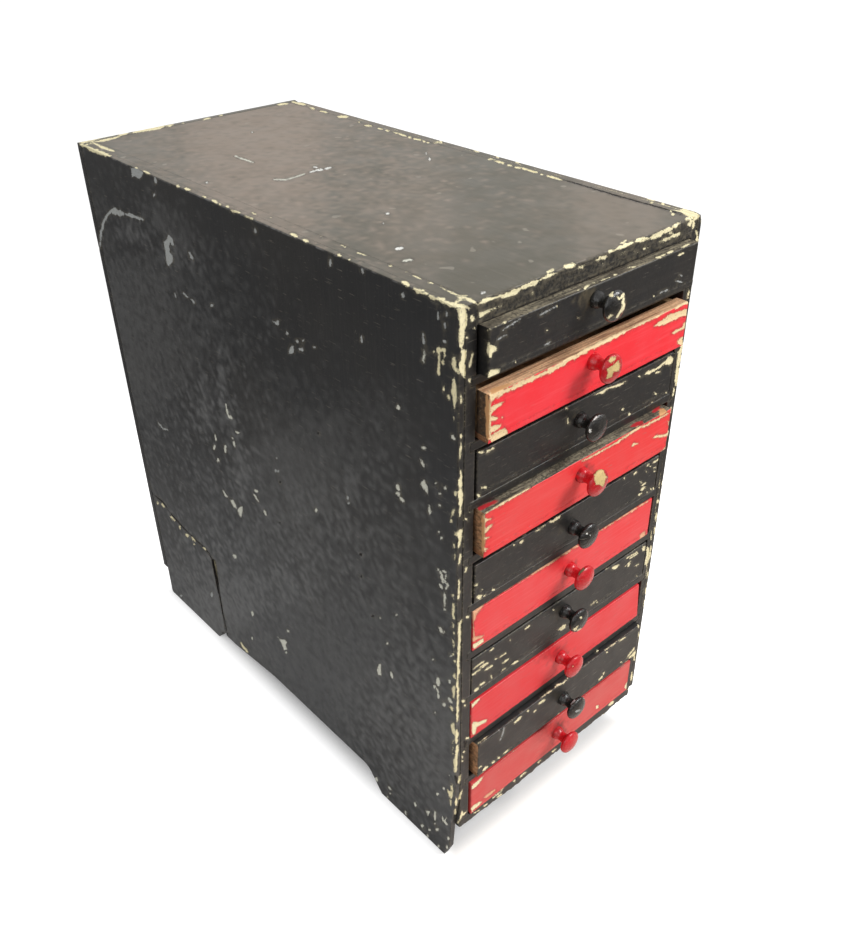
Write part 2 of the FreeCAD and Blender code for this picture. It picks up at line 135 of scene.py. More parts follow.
class Graph:
    """A material's nodes, added by short calls."""

    def __init__(self, name):
        self.material = bpy.data.materials.new(name)
        self.material.use_nodes = True
        self.tree = self.material.node_tree
        self.shader = self.tree.nodes["Principled BSDF"]
        self.where = self.add("ShaderNodeTexCoord").outputs["Object"]

    def add(self, kind, inputs=(), **settings):
        node = self.tree.nodes.new(kind)
        for name, value in settings.items():
            setattr(node, name, value)
        for socket, value in dict(inputs).items():
            self.put(node.inputs[socket], value)
        return node

    def put(self, socket, value):
        if isinstance(value, bpy.types.NodeSocket):
            self.tree.links.new(value, socket)
        else:
            socket.default_value = value

    def set(self, **values):
        """Puts values on the shader, and gives the material back."""
        for name, value in values.items():
            self.put(self.shader.inputs[name.replace("_", " ")], value)
        return self.material

    def calc(self, operation, first, second=0.0, clamp=False):
        node = self.add("ShaderNodeMath", {0: first, 1: second}, operation=operation, use_clamp=clamp)
        return node.outputs[0]

    def plus(self, first, second):
        return self.calc("ADD", first, second)

    def minus(self, first, second):
        return self.calc("SUBTRACT", first, second)

    def times(self, first, second):
        return self.calc("MULTIPLY", first, second)

    def larger(self, first, second):
        return self.calc("MAXIMUM", first, second)

    def ramp(self, value, low, high, start=0.0, end=1.0):
        """Start below low, end above high, and a smooth step between."""
        inputs = {"Value": value, "From Min": low, "From Max": high, "To Min": start, "To Max": end}
        return self.add("ShaderNodeMapRange", inputs, interpolation_type="SMOOTHSTEP").outputs[0]

    def mix(self, share, first, second):
        """Two colours. The share is the second's."""
        node = self.add("ShaderNodeMix", data_type="RGBA")
        for name, value in (("Factor", share), ("A", first), ("B", second)):
            socket = next(s for s in node.inputs if s.name == name and s.enabled)
            self.put(socket, value)
        return next(s for s in node.outputs if s.enabled)

    def stretched(self, across, up, deep):
        """The object's own coordinates, in lumps per metre along x, z and y."""
        inputs = {"Vector": self.where, "Scale": (across, deep, up)}
        return self.add("ShaderNodeMapping", inputs, vector_type="POINT").outputs[0]

    def noise(self, scale=1.0, detail=2.0, place=None, rough=0.5):
        """Cloudy values around 0.5. The scale is in lumps per metre."""
        inputs = {"Vector": place or self.where, "Scale": scale, "Detail": detail, "Roughness": rough}
        return self.add("ShaderNodeTexNoise", inputs).outputs[0]

    def swing(self, reach, scale, detail, rough=0.5):
        """The same values around 0, times a reach."""
        return self.times(self.minus(self.noise(scale, detail, rough=rough), 0.5), reach)

    def attribute(self, name):
        return self.add("ShaderNodeAttribute", attribute_name=name).outputs

    def bump(self, height, depth, under=None):
        """A surface's normals. The depth is in metres, and under is a bump that this one lies on."""
        inputs = {"Height": height, "Distance": depth, "Strength": 1.0}
        if under is not None:
            inputs["Normal"] = under
        return self.add("ShaderNodeBump", inputs).outputs[0]


def srgb(red, green, blue):
    """A colour as a paint card gives it, out of 255, for the shader."""
    shares = [value / 255 for value in (red, green, blue)]
    return (*[s / 12.92 if s <= 0.04045 else ((s + 0.055) / 1.055) ** 2.4 for s in shares], 1.0)


# What shows in a mark.
TONES = {
    "cream": srgb(248, 237, 194),
    "straw": srgb(246, 218, 170),
    "old": srgb(214, 188, 128),
    "salmon": srgb(240, 180, 142),
    "grey": srgb(172, 175, 173),
    "pale": srgb(218, 218, 204),
    "white": srgb(238, 238, 232),
    "tan": srgb(222, 166, 112),
    "moss": srgb(104, 100, 66),
    "dark": srgb(20, 18, 17),
    "red": srgb(190, 30, 40),
}
SUNK = {"dark": 3.5}  # how much deeper than a chip

IN_PITS = srgb(14, 12, 11)
# Painted shade along the rim of paint round each chip.
CHIP_EDGE_SHADE = srgb(30, 26, 24)
IN_SCRATCHES = srgb(158, 150, 136)
OLD_GROUND = srgb(120, 100, 76)
DULLED = 0.2  # how much rougher the dust, grime and painted light make the paint
BARE_ROUGH = 0.8
CHIP_STEP = 0.00015  # metres of paint at a chip's edge
# How much each layer over the paint covers at most.
STREAKS_COVER, RUBBED_COVER, CHIP_EDGE_SHADE_COVER, SCRATCHES_COVER = 0.35, 0.55, 0.4, 0.45
# What makes chips ragged: reach, lumps per metre, detail and roughness.
RAGGED_FINE, RAGGED_BROAD, CRUMBLED = (3.4, 1250, 5, 0.75), (1.2, 420, 2), (3.6, 1700, 2)
CRUMBS_NEAR = 0.55  # crumbs of paint are gone further from a chip than its own edge
SCRATCHED = (90, 2600, 90)  # level scratches, in lumps per metre along x, z and y


def painted(name, colours, sheen, strokes, lump=14, crust=0.00012, pits=0.0, even=0.45, flakes=None):
    """Brushed paint over a pale ground. The board's own chip and tone attributes say where it is gone and what
    shows there, and a third says where dust, grime and painted light lie.

    The colours are the paint's where it is whole, thin and palest along the brush, and then rubbed, and under
    dust, grime and painted light: a painted sheen on the side and top, and painted shade at the knobs.
    Strokes and lump are in lumps per metre, and crust is in metres. Even is the share of the dust and painted
    light that the thinnest clouds keep.
    """
    colour, worn, pale, rubbed, grime_and_painted_light_colour = (srgb(*card) for card in colours)
    g = Graph(name)
    chip = g.attribute("chip")["Fac"]
    field = g.plus(chip, g.plus(g.swing(*RAGGED_FINE), g.swing(*RAGGED_BROAD)))
    crumbs = g.plus(g.times(chip, CRUMBS_NEAR), g.swing(*CRUMBLED))
    bare = g.larger(g.ramp(field, -0.06, 0.06), g.ramp(crumbs, 0.3, 0.42))
    if flakes:
        bare = g.larger(bare, g.ramp(g.noise(48, 9, rough=0.74), flakes, flakes + 0.01))
    brushed = g.noise(1.0, 3, g.stretched(*strokes))
    tint = g.mix(g.ramp(g.noise(lump, 4, rough=0.6), 0.35, 0.7), colour, worn)
    tint = g.mix(g.times(g.ramp(brushed, 0.45, 0.75), STREAKS_COVER), tint, pale)
    grime_and_painted_light = g.attribute("grime_and_painted_light")["Fac"]
    cloud = g.calc("MULTIPLY", grime_and_painted_light, g.ramp(g.noise(60, 4), 0.3, 0.7, even, 1.0), clamp=True)
    tint = g.mix(cloud, tint, grime_and_painted_light_colour)
    near = g.times(g.ramp(chip, -2.2, -0.4), g.ramp(g.noise(260, 4, rough=0.65), 0.4, 0.62))
    tint = g.mix(g.times(near, RUBBED_COVER), tint, rubbed)
    if pits:
        tint = g.mix(g.ramp(g.noise(520, 3), 0.36, 0.44, pits, 0.0), tint, IN_PITS)
    tint = g.mix(g.times(g.ramp(field, -0.4, 0.0), CHIP_EDGE_SHADE_COVER), tint, CHIP_EDGE_SHADE)
    scratches = g.ramp(g.noise(1.0, 1, g.stretched(*SCRATCHED)), 0.72, 0.76)
    dots = g.ramp(g.noise(1500, 1), 0.76, 0.79)
    tint = g.mix(g.times(g.larger(scratches, dots), SCRATCHES_COVER), tint, IN_SCRATCHES)
    ground = g.mix(g.ramp(g.noise(900, 2), 0.52, 0.9), g.attribute("tone")["Color"], OLD_GROUND)
    gloss = g.ramp(g.noise(45, 3), 0.3, 0.7, sheen + 0.03, sheen + 0.12)
    rough = g.plus(g.larger(gloss, g.times(bare, BARE_ROUGH)), g.times(cloud, DULLED))
    surface = g.bump(g.plus(g.times(brushed, 0.5), g.noise(260, 5, rough=0.6)), crust)
    surface = g.bump(g.minus(1.0, bare), CHIP_STEP, surface)
    return g.set(Base_Color=g.mix(bare, tint, ground), Roughness=rough, Normal=surface)


WOOD_STAIN = srgb(58, 46, 36)
WOOD_PALE = srgb(196, 180, 150)
WOOD_SPECKS = srgb(34, 29, 23)
PORES_FINER = 4  # than the rings
GRAIN_HIGH = 0.0003  # metres


def bare_wood(name, light, dark, grain, stain=0.5, specks=0.2):
    """Unpainted wood. The noise runs along the grain, and stains lie over it."""
    light, dark = srgb(*light), srgb(*dark)
    g = Graph(name)
    rings = g.noise(1.0, 5, g.stretched(*grain), 0.65)
    pores = g.noise(1.0, 3, g.stretched(*[step * PORES_FINER for step in grain]), 0.6)
    tint = g.mix(g.ramp(rings, 0.36, 0.64), dark, light)
    tint = g.mix(g.ramp(pores, 0.55, 0.72, 0.0, 0.6), tint, dark)
    tint = g.mix(g.ramp(g.noise(38, 5, rough=0.65), 0.42, 0.66, 0.0, stain), tint, WOOD_STAIN)
    tint = g.mix(g.ramp(g.noise(900, 3), 0.62, 0.7, 0.0, 0.5), tint, WOOD_PALE)
    tint = g.mix(g.ramp(g.noise(620, 4, rough=0.7), 0.5, 0.6, 0.0, specks), tint, WOOD_SPECKS)
    bare = g.ramp(g.plus(g.attribute("chip")["Fac"], g.swing(2.0, 2200, 4)), -0.05, 0.1)
    return g.set(Base_Color=g.mix(bare, tint, g.attribute("tone")["Color"]),
                 Roughness=g.ramp(rings, 0.2, 0.8, 0.6, 0.8), Normal=g.bump(g.plus(rings, pores), GRAIN_HIGH))


STEEL, RUST = srgb(96, 92, 88), srgb(88, 54, 36)
METALLIC = 0.8
HAMMERED = 0.0001  # metres


def dull_steel(name):
    g = Graph(name)
    rust = g.ramp(g.noise(500, 4), 0.5, 0.62)
    rough = g.ramp(g.noise(900, 3), 0.3, 0.7, 0.35, 0.75)
    return g.set(Base_Color=g.mix(rust, STEEL, RUST), Metallic=METALLIC, Roughness=rough,
                 Normal=g.bump(g.noise(1500, 3), HAMMERED))


BLACK = ((24, 24, 25), (33, 31, 29), (50, 47, 44), (92, 86, 72))
# The top's paint is lighter than the sides' black: dust, and a painted sheen where the top catches the light.
BLACK_TOP_DUST_AND_SHEEN = ((78, 74, 60), (86, 81, 67), (98, 92, 78), (70, 64, 54), (151, 137, 124))
BLACK_ROUGH = ((16, 14, 12), (72, 66, 54), (104, 96, 80), (112, 104, 86), (132, 124, 114))
# The knobs' last colour is painted shade on the neck, with grime on some necks.
BLACK_KNOB = ((18, 18, 18), (34, 32, 29), (52, 49, 45), (70, 64, 54), (16, 14, 13))
RED_KNOB = ((204, 20, 34), (190, 24, 32), (226, 70, 78), (150, 30, 36), (84, 36, 34))
# The side's last colour is dust with a painted sheen; the front's is grime.
SIDE_DUST_AND_SHEEN_COLOUR, FRONT_DUST = (131, 131, 130), (98, 88, 68)
# Brush strokes, in lumps per metre along x, z and y. They run where these are few.
BRUSHED_UPRIGHT, BRUSHED_ACROSS, BRUSHED_BACK = (60, 14, 800), (40, 700, 40), (420, 60, 25)
ROUGHLY_FILLED, TURNED = (60, 400, 60), (500, 500, 500)
RED_FRONTS = {2: (253, 42, 54), 4: (245, 54, 56), 6: (244, 56, 62), 8: (232, 44, 52), 10: (214, 64, 63)}


def red_paint(red, green, blue):
    """One front's red. Where it is thin it's paler, and grime and painted knob shadows are dark."""
    thin = (red - 2, green + 14, blue + 13)
    palest = (min(red + 4, 255), green + 48, blue + 44)
    return (red, green, blue), thin, palest, (190, 40, 48), (104, 48, 46)


PAINTS = {  # colours, sheen and strokes, and what sets each apart
    "black_side": ((*BLACK, SIDE_DUST_AND_SHEEN_COLOUR), 0.38, BRUSHED_UPRIGHT,
                   dict(lump=7, crust=0.00004, pits=0.2, even=0.97)),
    "black_worn": ((*BLACK, SIDE_DUST_AND_SHEEN_COLOUR), 0.38, BRUSHED_UPRIGHT,
                   dict(lump=30, crust=0.00006, pits=0.4, flakes=0.635)),
    "black_top_dust_and_sheen": (BLACK_TOP_DUST_AND_SHEEN, 0.36, BRUSHED_BACK, dict(crust=0.00008, even=0.94)),
    "black_front": ((*BLACK, FRONT_DUST), 0.38, BRUSHED_ACROSS, dict(lump=70, pits=0.5)),
    "black_rough": (BLACK_ROUGH, 0.6, ROUGHLY_FILLED, dict(lump=420, crust=0.0007, pits=0.8)),
    "black_knob": (BLACK_KNOB, 0.16, TURNED, dict(lump=300, crust=0.0006, pits=0.3)),
    "red_knob": (RED_KNOB, 0.14, TURNED, dict(lump=200, crust=0.0003)),
}
for number, red in RED_FRONTS.items():
    PAINTS[f"red_front_{number}"] = (red_paint(*red), 0.36, BRUSHED_ACROSS, dict(lump=40))
WOODS = {  # light, dark, lumps per metre of the grain along x, z and y, stain and specks
    "panel_wood": ((182, 126, 84), (128, 84, 52), (60, 900, 14), 0.3),
    "olive_wood": ((158, 148, 124), (66, 60, 49), (40, 400, 520), 0.5, 0.8),
    # This wood is paler than drawer 2's top really is: painted light that lifts drawer 1's shadow off it.
    "brown_wood_brightened": ((255, 205, 158), (166, 116, 84), (20, 500, 640), 0.3, 0.3),
    "end_wood": ((216, 160, 114), (122, 90, 62), (300, 600, 300), 0.5, 0.3),
    "end_dark": ((126, 96, 68), (60, 45, 32), (300, 600, 300), 0.7, 0.4),
    "box_wood": ((168, 134, 96), (120, 90, 62), (300, 300, 12), 0.4),
    "back_wood": ((158, 126, 92), (98, 74, 52), (200, 8, 200), 0.6),
}
MATERIALS = {"nail_steel": dull_steel("nail_steel")}
for name, (colours, sheen, strokes, more) in PAINTS.items():
    MATERIALS[name] = painted(name, colours, sheen, strokes, **more)
for name, settings in WOODS.items():
    MATERIALS[name] = bare_wood(name, *settings)


DECIMALS = 2  # of a millimetre
FLUSH = 0.02  # how far from a face's level its points may lie


def outlines(node, axis, side):
    """The closed outlines of a board's face that looks along an axis, from the CAD, the largest first."""
    mesh = frame["nodes"][node].data
    points = to_case(np.array([vertex.co for vertex in mesh.vertices]))
    level = points[:, axis].max() if side > 0 else points[:, axis].min()
    keys = [tuple(np.round(point, DECIMALS)) for point in points]
    sides = set()
    for polygon in mesh.polygons:
        if all(abs(points[i][axis] - level) < FLUSH for i in polygon.vertices):
            ring = [keys[i] for i in polygon.vertices]
            for pair in zip(ring, ring[1:] + ring[:1]):
                if pair[::-1] in sides:
                    sides.remove(pair[::-1])
                else:
                    sides.add(pair)
    following = dict(sides)
    loops = []
    while following:
        start, here = following.popitem()
        loop = [start]
        while here != start:
            loop.append(here)
            here = following.pop(here)
        loops.append(np.array(loop)[:, in_plane(axis)])
    return sorted(loops, key=lambda loop: -np.prod(np.ptp(loop, axis=0)))


def in_plane(axis):
    """The other two axes."""
    return [other for other in (X, Y, Z) if other != axis]


def without_straight(loop):
    """Drops points that lie on a straight side."""
    before, after = np.roll(loop, 1, axis=0), np.roll(loop, -1, axis=0)
    first, second = loop - before, after - loop
    bend = np.abs(first[:, 0] * second[:, 1] - first[:, 1] * second[:, 0])
    return loop[bend > 0.01 * np.linalg.norm(first, axis=1) * np.linalg.norm(second, axis=1)]


def densify(loop, steps):
    """Points along an outline, with a step of its own for each side."""
    dense = []
    for here, there, step in zip(loop, np.roll(loop, -1, axis=0), steps):
        count = max(1, round(float(np.linalg.norm(there - here)) / step))
        dense += [here + (there - here) * i / count for i in range(count)]
    return np.array(dense)


def to_side(points, here, there):
    """How far along a straight side each point lies, from 0 to 1, and its distance from the side."""
    along = there - here
    share = np.clip((points - here) @ along / max(along @ along, 1e-9), 0, 1)
    return share, np.linalg.norm(points - here - share[:, None] * along, axis=1)


def to_sides(points, loop):
    """The distance from each point to an outline, and its nearest side."""
    best = np.full(len(points), np.inf)
    nearest = np.zeros(len(points), int)
    for number, (here, there) in enumerate(zip(loop, np.roll(loop, -1, axis=0))):
        _, gap = to_side(points, here, there)
        nearest[gap < best] = number
        best = np.minimum(best, gap)
    return best, nearest


def inside(points, loop):
    """Which points an outline goes round."""
    odd = np.zeros(len(points), bool)
    for (ax, ay), (bx, by) in zip(loop, np.roll(loop, -1, axis=0)):
        if ay == by:
            continue
        crosses = (ay > points[:, 1]) != (by > points[:, 1])
        odd ^= crosses & (points[:, 0] < ax + (points[:, 1] - ay) * (bx - ax) / (by - ay))
    return odd


INSETS = (0.12, 0.35, 0.75, 1.4)  # rows of points behind a face's rim
ROW_STEP = 0.87  # of the step along a row
AREA_STEP, LINE_STEP = 0.45, 0.4  # between the points on an area, and at least that on a line
LINE_SHARE = 0.7  # of a line's radius, the same
MARK_RIM = 1.1  # how far to both sides of a mark's edge these points reach


def face_points(loop, dense, step, marks, axis, level):
    """Points for one face: its rim, rows close to the rim, a staggered grid, and more around each mark."""
    low, high = loop.min(axis=0), loop.max(axis=0)
    rows = np.arange(low[1] + step / 2, high[1], step * ROW_STEP)
    grid = [(a + (step / 2 if number % 2 else 0), b) for number, b in enumerate(rows)
            for a in np.arange(low[0] + step / 2, high[0], step)]
    extra = [np.array(grid).reshape(-1, 2)]
    flat = in_plane(axis)
    for mark in marks:
        lo, hi = mark.low[flat] + 2, mark.high[flat] - 2
        if not mark.low[axis] < level < mark.high[axis]:
            continue
        fine = AREA_STEP if mark.area else max(LINE_STEP, mark.radius * LINE_SHARE)
        lines = [np.arange(lo[i], hi[i], fine) for i in (0, 1)]
        spots = np.stack(np.meshgrid(*lines), axis=-1).reshape(-1, 2)
        solid = np.zeros((len(spots), 3))
        solid[:, flat] = spots
        solid[:, axis] = level
        extra.append(spots[np.abs(mark.field(solid, photo_pixels(solid))) < MARK_RIM])
    extra = np.concatenate(extra)
    gap, _ = to_sides(extra, loop)
    extra = extra[inside(extra, loop) & (gap > min(step * 0.5, INSETS[1]))]
    towards = np.roll(dense, -1, axis=0) - np.roll(dense, 1, axis=0)
    inward = np.stack([-towards[:, 1], towards[:, 0]], axis=1) / np.linalg.norm(towards, axis=1)[:, None]
    if not inside(dense[:1] + inward[:1] * 0.01, loop)[0]:
        inward = -inward
    rings = np.concatenate([dense + inward * inset for inset in INSETS])
    gap, _ = to_sides(rings, loop)
    keep = inside(rings, loop) & (gap > np.repeat(INSETS, len(dense)) * 0.8)
    return np.concatenate([dense, rings[keep], extra])


def mesh_face(dense, points):
    """Triangles inside an outline. Also gives where each point of the dense outline went."""
    count = len(dense)
    edges = [(i, (i + 1) % count) for i in range(count)]
    made = delaunay_2d_cdt([Vector(point) for point in points], edges, [], 1, 1e-4)
    verts, faces, origins = np.array([v[:] for v in made[0]]), made[2], made[3]
    went = np.zeros(count, int)
    for number, origin in enumerate(origins):
        for first in origin:
            if first < count:
                went[first] = number
    return verts, [list(face) for face in faces], went


def rounded(gap, ease):
    """How far a surface lies below its face at a distance from an edge of that radius."""
    reach = np.clip(ease - gap, 0, ease)
    return ease - np.sqrt(np.maximum(ease * ease - reach * reach, 0))


RAGGED_SHARE, RAGGED_LUMP = 0.6, 2.4  # how much a line's width swings, and over which length
TAPER = 0.5  # how much narrower a line gets at its ends


class Mark:
    """A chip, a scratch, a painted highlight or shadow line, or a patch of dust, grime and painted light, as
    the
    photograph shows it: a line through pixels, or the area inside them.

    Low and high bound the part of the piece that it can lie on, in case millimetres.
    """

    def __init__(self, body, tone, width, pixels, low, high):
        self.body, self.tone, self.radius = body, tone, width / 2
        self.area = width == 0
        self.pixels = np.array(pixels)
        self.low, self.high = low, high
        away = np.linalg.norm((low + high) / 2 - to_case(np.array(CAMERA_AT)))
        self.pixel_size = away / FOCAL_PIXELS

    def field(self, spots, pixels):
        """How far inside the mark each spot lies, in millimetres. Outside it is less than nothing."""
        if self.area:
            gap, _ = to_sides(pixels, self.pixels)
            return np.where(inside(pixels, self.pixels), gap, -gap) * self.pixel_size
        best = np.full(len(spots), np.inf)
        place = np.zeros(len(spots))
        for number, (here, there) in enumerate(zip(self.pixels, self.pixels[1:])):
            share, gap = to_side(pixels, here, there)
            place[gap < best] = ((number + share) / (len(self.pixels) - 1))[gap < best]
            best = np.minimum(best, gap)
        ragged = 1 + RAGGED_SHARE * noise(spots, RAGGED_LUMP, 3) - TAPER * (2 * place - 1) ** 4
        return self.radius * ragged - best * self.pixel_size


BODY_OF = {node: body for body, nodes in frame["record"]["behaviour"]["bodies"].items() for node in nodes}
FACES = {"left": (X, -1), "right": (X, 1), "front": (Y, -1), "back": (Y, 1), "under": (Z, -1), "top": (Z, 1)}
CASE_BOX = (np.zeros(3), to_case(np.array(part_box("back_panel")[1])) * (0, 1, 1) + (2 * -CORNER[0] / MM, 0, 0))
ANYWHERE = ((-9, -99, -9), (999, 999, 999))
ON_TOP = ((-9, -9, CASE_HIGH - 1), (999, 999, 999))
MARK_DEEP = 4.0  # how far from its surface a mark reaches
marks = []
grime_and_painted_light_places = []


def box_of(part):
    """A node's box in case millimetres, or the whole case's."""
    if part == "case":
        return CASE_BOX
    low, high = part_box(part)
    return to_case(np.array(low)), to_case(np.array(high))


def pairs(flat):
    return list(zip(flat[::2], flat[1::2]))


def traced(part, tone, rows):
    """Marks on a part's seen sides, each a width in millimetres and the photograph's pixels."""
    low, high = box_of(part)
    for width, *flat in rows:
        spots = np.array([seen_on_box(pixel, low, high) for pixel in pairs(flat)])
        around = width / 2 + MARK_DEEP
        marks.append(Mark(BODY_OF.get(part, "case"), tone, width, pairs(flat),
                          spots.min(axis=0) - around, spots.max(axis=0) + around))


def traced_on_knob(number, tone, rows):
    """The same on a knob's rounded head."""
    low, high = box_of(f"drawer_{number}_knob")
    head = high.copy()
    head[Y] = low[Y] + KNOB_HEAD
    for width, *flat in rows:
        marks.append(Mark(f"drawer_{number}", tone, width, pairs(flat), low - 0.5, head + 0.5))


def spread_grime_and_painted_light(nodes, rows, box=ANYWHERE):
    """Dust, grime and painted light in a box. Each row is a strength, a width in millimetres and then pixels.
    """
    for amount, width, *flat in rows:
        tinted_place = Mark(None, None, width, pairs(flat), *CASE_BOX)
        tinted_place.low, tinted_place.high = np.array(box)
        grime_and_painted_light_places.append((nodes, tinted_place, amount))


# An edge's chips: how wear brings them on, against what, and how they die out inward, per millimetre.
WEAR_GAIN, WHOLE, EDGE_FADE = 1.5, 1.1, 0.8
WEAR_SWING, WEAR_LUMP = 0.9, 9.0
WORN_THROUGH = 0.6  # the share of full depth that each millimetre inside a chip brings


def weather(mesh, node, points, edge, wear):
    """Writes where paint is gone, what shows there, and dust, grime and painted light. Gives how deep spots are
    worn.
    """
    body = BODY_OF[node]
    pixels = photo_pixels(points)
    chip = wear * WEAR_GAIN - WHOLE - edge * EDGE_FADE
    chip += noise(points, WEAR_LUMP, 1) * WEAR_SWING * min(wear * 2, 1)
    tone = np.tile(TONES["cream"], (len(points), 1))
    sunk = np.ones(len(points))
    low, high = points.min(axis=0), points.max(axis=0)
    for mark in marks:
        if mark.body != body or np.any(mark.low > high) or np.any(mark.high < low):
            continue
        near = np.flatnonzero(np.all((points > mark.low) & (points < mark.high), axis=1))
        if len(near):
            depth = mark.field(points[near], pixels[near])
            higher = depth > chip[near]
            chip[near[higher]] = depth[higher]
            tone[near[higher]] = TONES[mark.tone]
            sunk[near[higher]] = SUNK.get(mark.tone, 1.0)
    grime_and_painted_light = np.zeros(len(points))
    for nodes, tinted_place, amount in grime_and_painted_light_places:
        if node in nodes:
            held = np.all((points > tinted_place.low) & (points < tinted_place.high), axis=1)
            grime_and_painted_light += held * amount * np.clip(tinted_place.field(points, pixels) / tinted_place.radius, 0, 1)
    for name, values in (("chip", chip), ("grime_and_painted_light", grime_and_painted_light)):
        mesh.attributes.new(name, "FLOAT", "POINT").data.foreach_set("value", values.astype(np.float32))
    tone = tone.astype(np.float32).ravel()
    mesh.attributes.new("tone", "FLOAT_COLOR", "POINT").data.foreach_set("color", tone)
    return np.clip(chip * WORN_THROUGH, 0, 1) * sunk


# Corners of the case that are knocked off: the place, how far round it, how deep and which way.
DENTS = (
    ((0, 0, CASE_HIGH), 8, 2.0, (1, 1, -1)),
    ((CASE_WIDE, 0, CASE_HIGH), 6, 1.3, (-1, 1, -1)),
    ((0, SHEET_DEEP, CASE_HIGH), 7, 1.4, (1, -1, -1)),
    ((CASE_WIDE, SHEET_DEEP, CASE_HIGH), 7, 1.6, (-1, -1, -1)),
    ((0, 0, 0), 7, 1.6, (1, 2, 1)),
)
CHIP_DEPTH = 0.25  # of a chip that is worn right through
SHARP_ANGLE = math.radians(40)
FACING = 0.75  # how squarely a polygon looks along an axis to count as that face


def knocked(points, node):
    if BODY_OF[node] != "case":
        return points
    for place, reach, depth, way in DENTS:
        gap = np.linalg.norm(points - np.array(place), axis=1)
        share = np.clip(1 - gap / reach, 0, 1) ** 1.5
        points = points + share[:, None] * depth * np.array(way) / np.linalg.norm(way)
    return points


def finish_piece(name, points, faces, edge, wear, material, node, bare=None):
    """Makes the object from case millimetres and lets it ride in the node's place."""
    mesh = bpy.data.meshes.new(name)
    mesh.from_pydata(to_frame(knocked(points, node)).tolist(), [], faces)
    worn = weather(mesh, node, points, edge, wear)
    bm = bmesh.new()
    bm.from_mesh(mesh)
    bmesh.ops.recalc_face_normals(bm, faces=bm.faces)
    bm.normal_update()
    for vertex, depth in zip(bm.verts, worn):
        if depth > 0:
            vertex.co -= vertex.normal * float(depth) * CHIP_DEPTH * MM
    bare = bare or {}
    front = points[:, Y].min()
    for number, (face, (_, behind)) in enumerate(bare.items(), start=1):
        axis, side = FACES[face]
        from_here = to_frame(np.array((0, front + behind, 0)))[Y]
        for polygon in bm.faces:
            back_enough = not behind or polygon.calc_center_median()[Y] > from_here
            if polygon.normal[axis] * side > FACING and back_enough:
                polygon.material_index = number
    bm.to_mesh(mesh)
    bm.free()
    for used in (material, *[name for name, _ in bare.values()]):
        mesh.materials.append(MATERIALS[used])
    mesh.shade_smooth()
    mesh.set_sharp_from_angle(angle=SHARP_ANGLE)
    item = bpy.data.objects.new(name, mesh)
    bpy.context.scene.collection.objects.link(item)
    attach(item, BODY_OF[node])
    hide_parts(node)


ON_SIDE = 0.5  # how near to its box's side a board's edge is fine
NIBBLED, NIBBLE_LUMP = 0.35, 14.0  # how much an edge's radius swings, and over which length
WAVE_LUMP, WAVE_FADE = 70.0, 4.0  # a wave's length, and how near to an edge waves get lower
RING_STEP, RING_ROOM = 2.0, 0.05  # between rings around a board, and between them and its eased edges


def rings_around(previous, here):
    """Four-sided faces between two rings of points."""
    after = np.roll(previous, -1), np.roll(here, -1)
    return [[a, b, c, d] for a, b, c, d in zip(previous, *after, here)]


def board(node, face, step=3.0, far_step=25.0, rim=2.5, fine=None, ease=0.5, far_ease=0.2, rows=None,
          loop=None, read=None, wave=0.12, ease_by=None):
    """A board drawn by one face's outline, with waves in its surfaces and eased edges.

    Fine is the rim's step along the top and along the side that is left or in front. Rows are the depths
    of the rings around the board.
    Gives its points, its faces and how far each point is from an edge.
    """
    axis, side = FACES[face]
    flat = in_plane(axis)
    if loop is None:
        loop = without_straight(outlines(node, *FACES[read or face])[0])
    low, high = box_of(node)
    near, far = (low[axis], high[axis]) if side < 0 else (high[axis], low[axis])
    middle = (loop + np.roll(loop, -1, axis=0)) / 2
    steps = np.full(len(loop), rim)
    if fine:
        steps[(middle[:, 0] < low[flat[0]] + ON_SIDE) | (middle[:, 1] > high[flat[1]] - ON_SIDE)] = fine
    dense = densify(loop, steps)
    near_marks = [mark for mark in marks if mark.body == BODY_OF[node]
                  and np.all(mark.low < high) and np.all(mark.high > low)]
    eases = np.full(len(loop), ease)
    if ease_by:
        eases = eases * ease_by(loop)
    blocks, shapes, edge, total, rims = [], [], [], 0, []
    for level, towards, spacing, easing, the_marks in (
            (near, 1, step, eases, near_marks), (far, -1, far_step, np.full(len(loop), far_ease), [])):
        spots = face_points(loop, dense, spacing, the_marks, axis, level)
        verts, faces, went = mesh_face(dense, spots)
        gap, nearest = to_sides(verts, loop)
        solid = np.zeros((len(verts), 3))
        solid[:, flat] = verts
        solid[:, axis] = level
        radius = easing[nearest] * (1 + NIBBLED * noise(solid, NIBBLE_LUMP, 5))
        waves = (noise(solid, WAVE_LUMP, 2) + 1) / 2 * wave * np.clip(gap / WAVE_FADE, 0, 1)
        sink = rounded(gap, radius) + waves
        solid[:, axis] += sink * np.sign(far - near) * towards
        blocks.append(solid)
        shapes += [[i + total for i in corners] for corners in faces]
        rims.append((went + total, radius[went]))
        edge.append(gap)
        total += len(solid)
    thick = abs(far - near)
    if rows is None:
        rows = np.linspace(0, thick, max(2, round(thick / RING_STEP)) + 1)[1:-1]
    (previous, near_radius), (last, far_radius) = rims
    for depth in rows:
        depth = np.clip(np.full(len(dense), depth), near_radius + RING_ROOM, thick - far_radius - RING_ROOM)
        ring = np.zeros((len(dense), 3))
        ring[:, flat] = dense
        ring[:, axis] = near + depth * np.sign(far - near)
        blocks.append(ring)
        edge.append(np.minimum(depth, thick - depth))
        here = np.arange(len(dense)) + total
        shapes += rings_around(previous, here)
        total += len(dense)
        previous = here
    shapes += rings_around(previous, last)
    return np.concatenate(blocks), shapes, np.concatenate(edge)


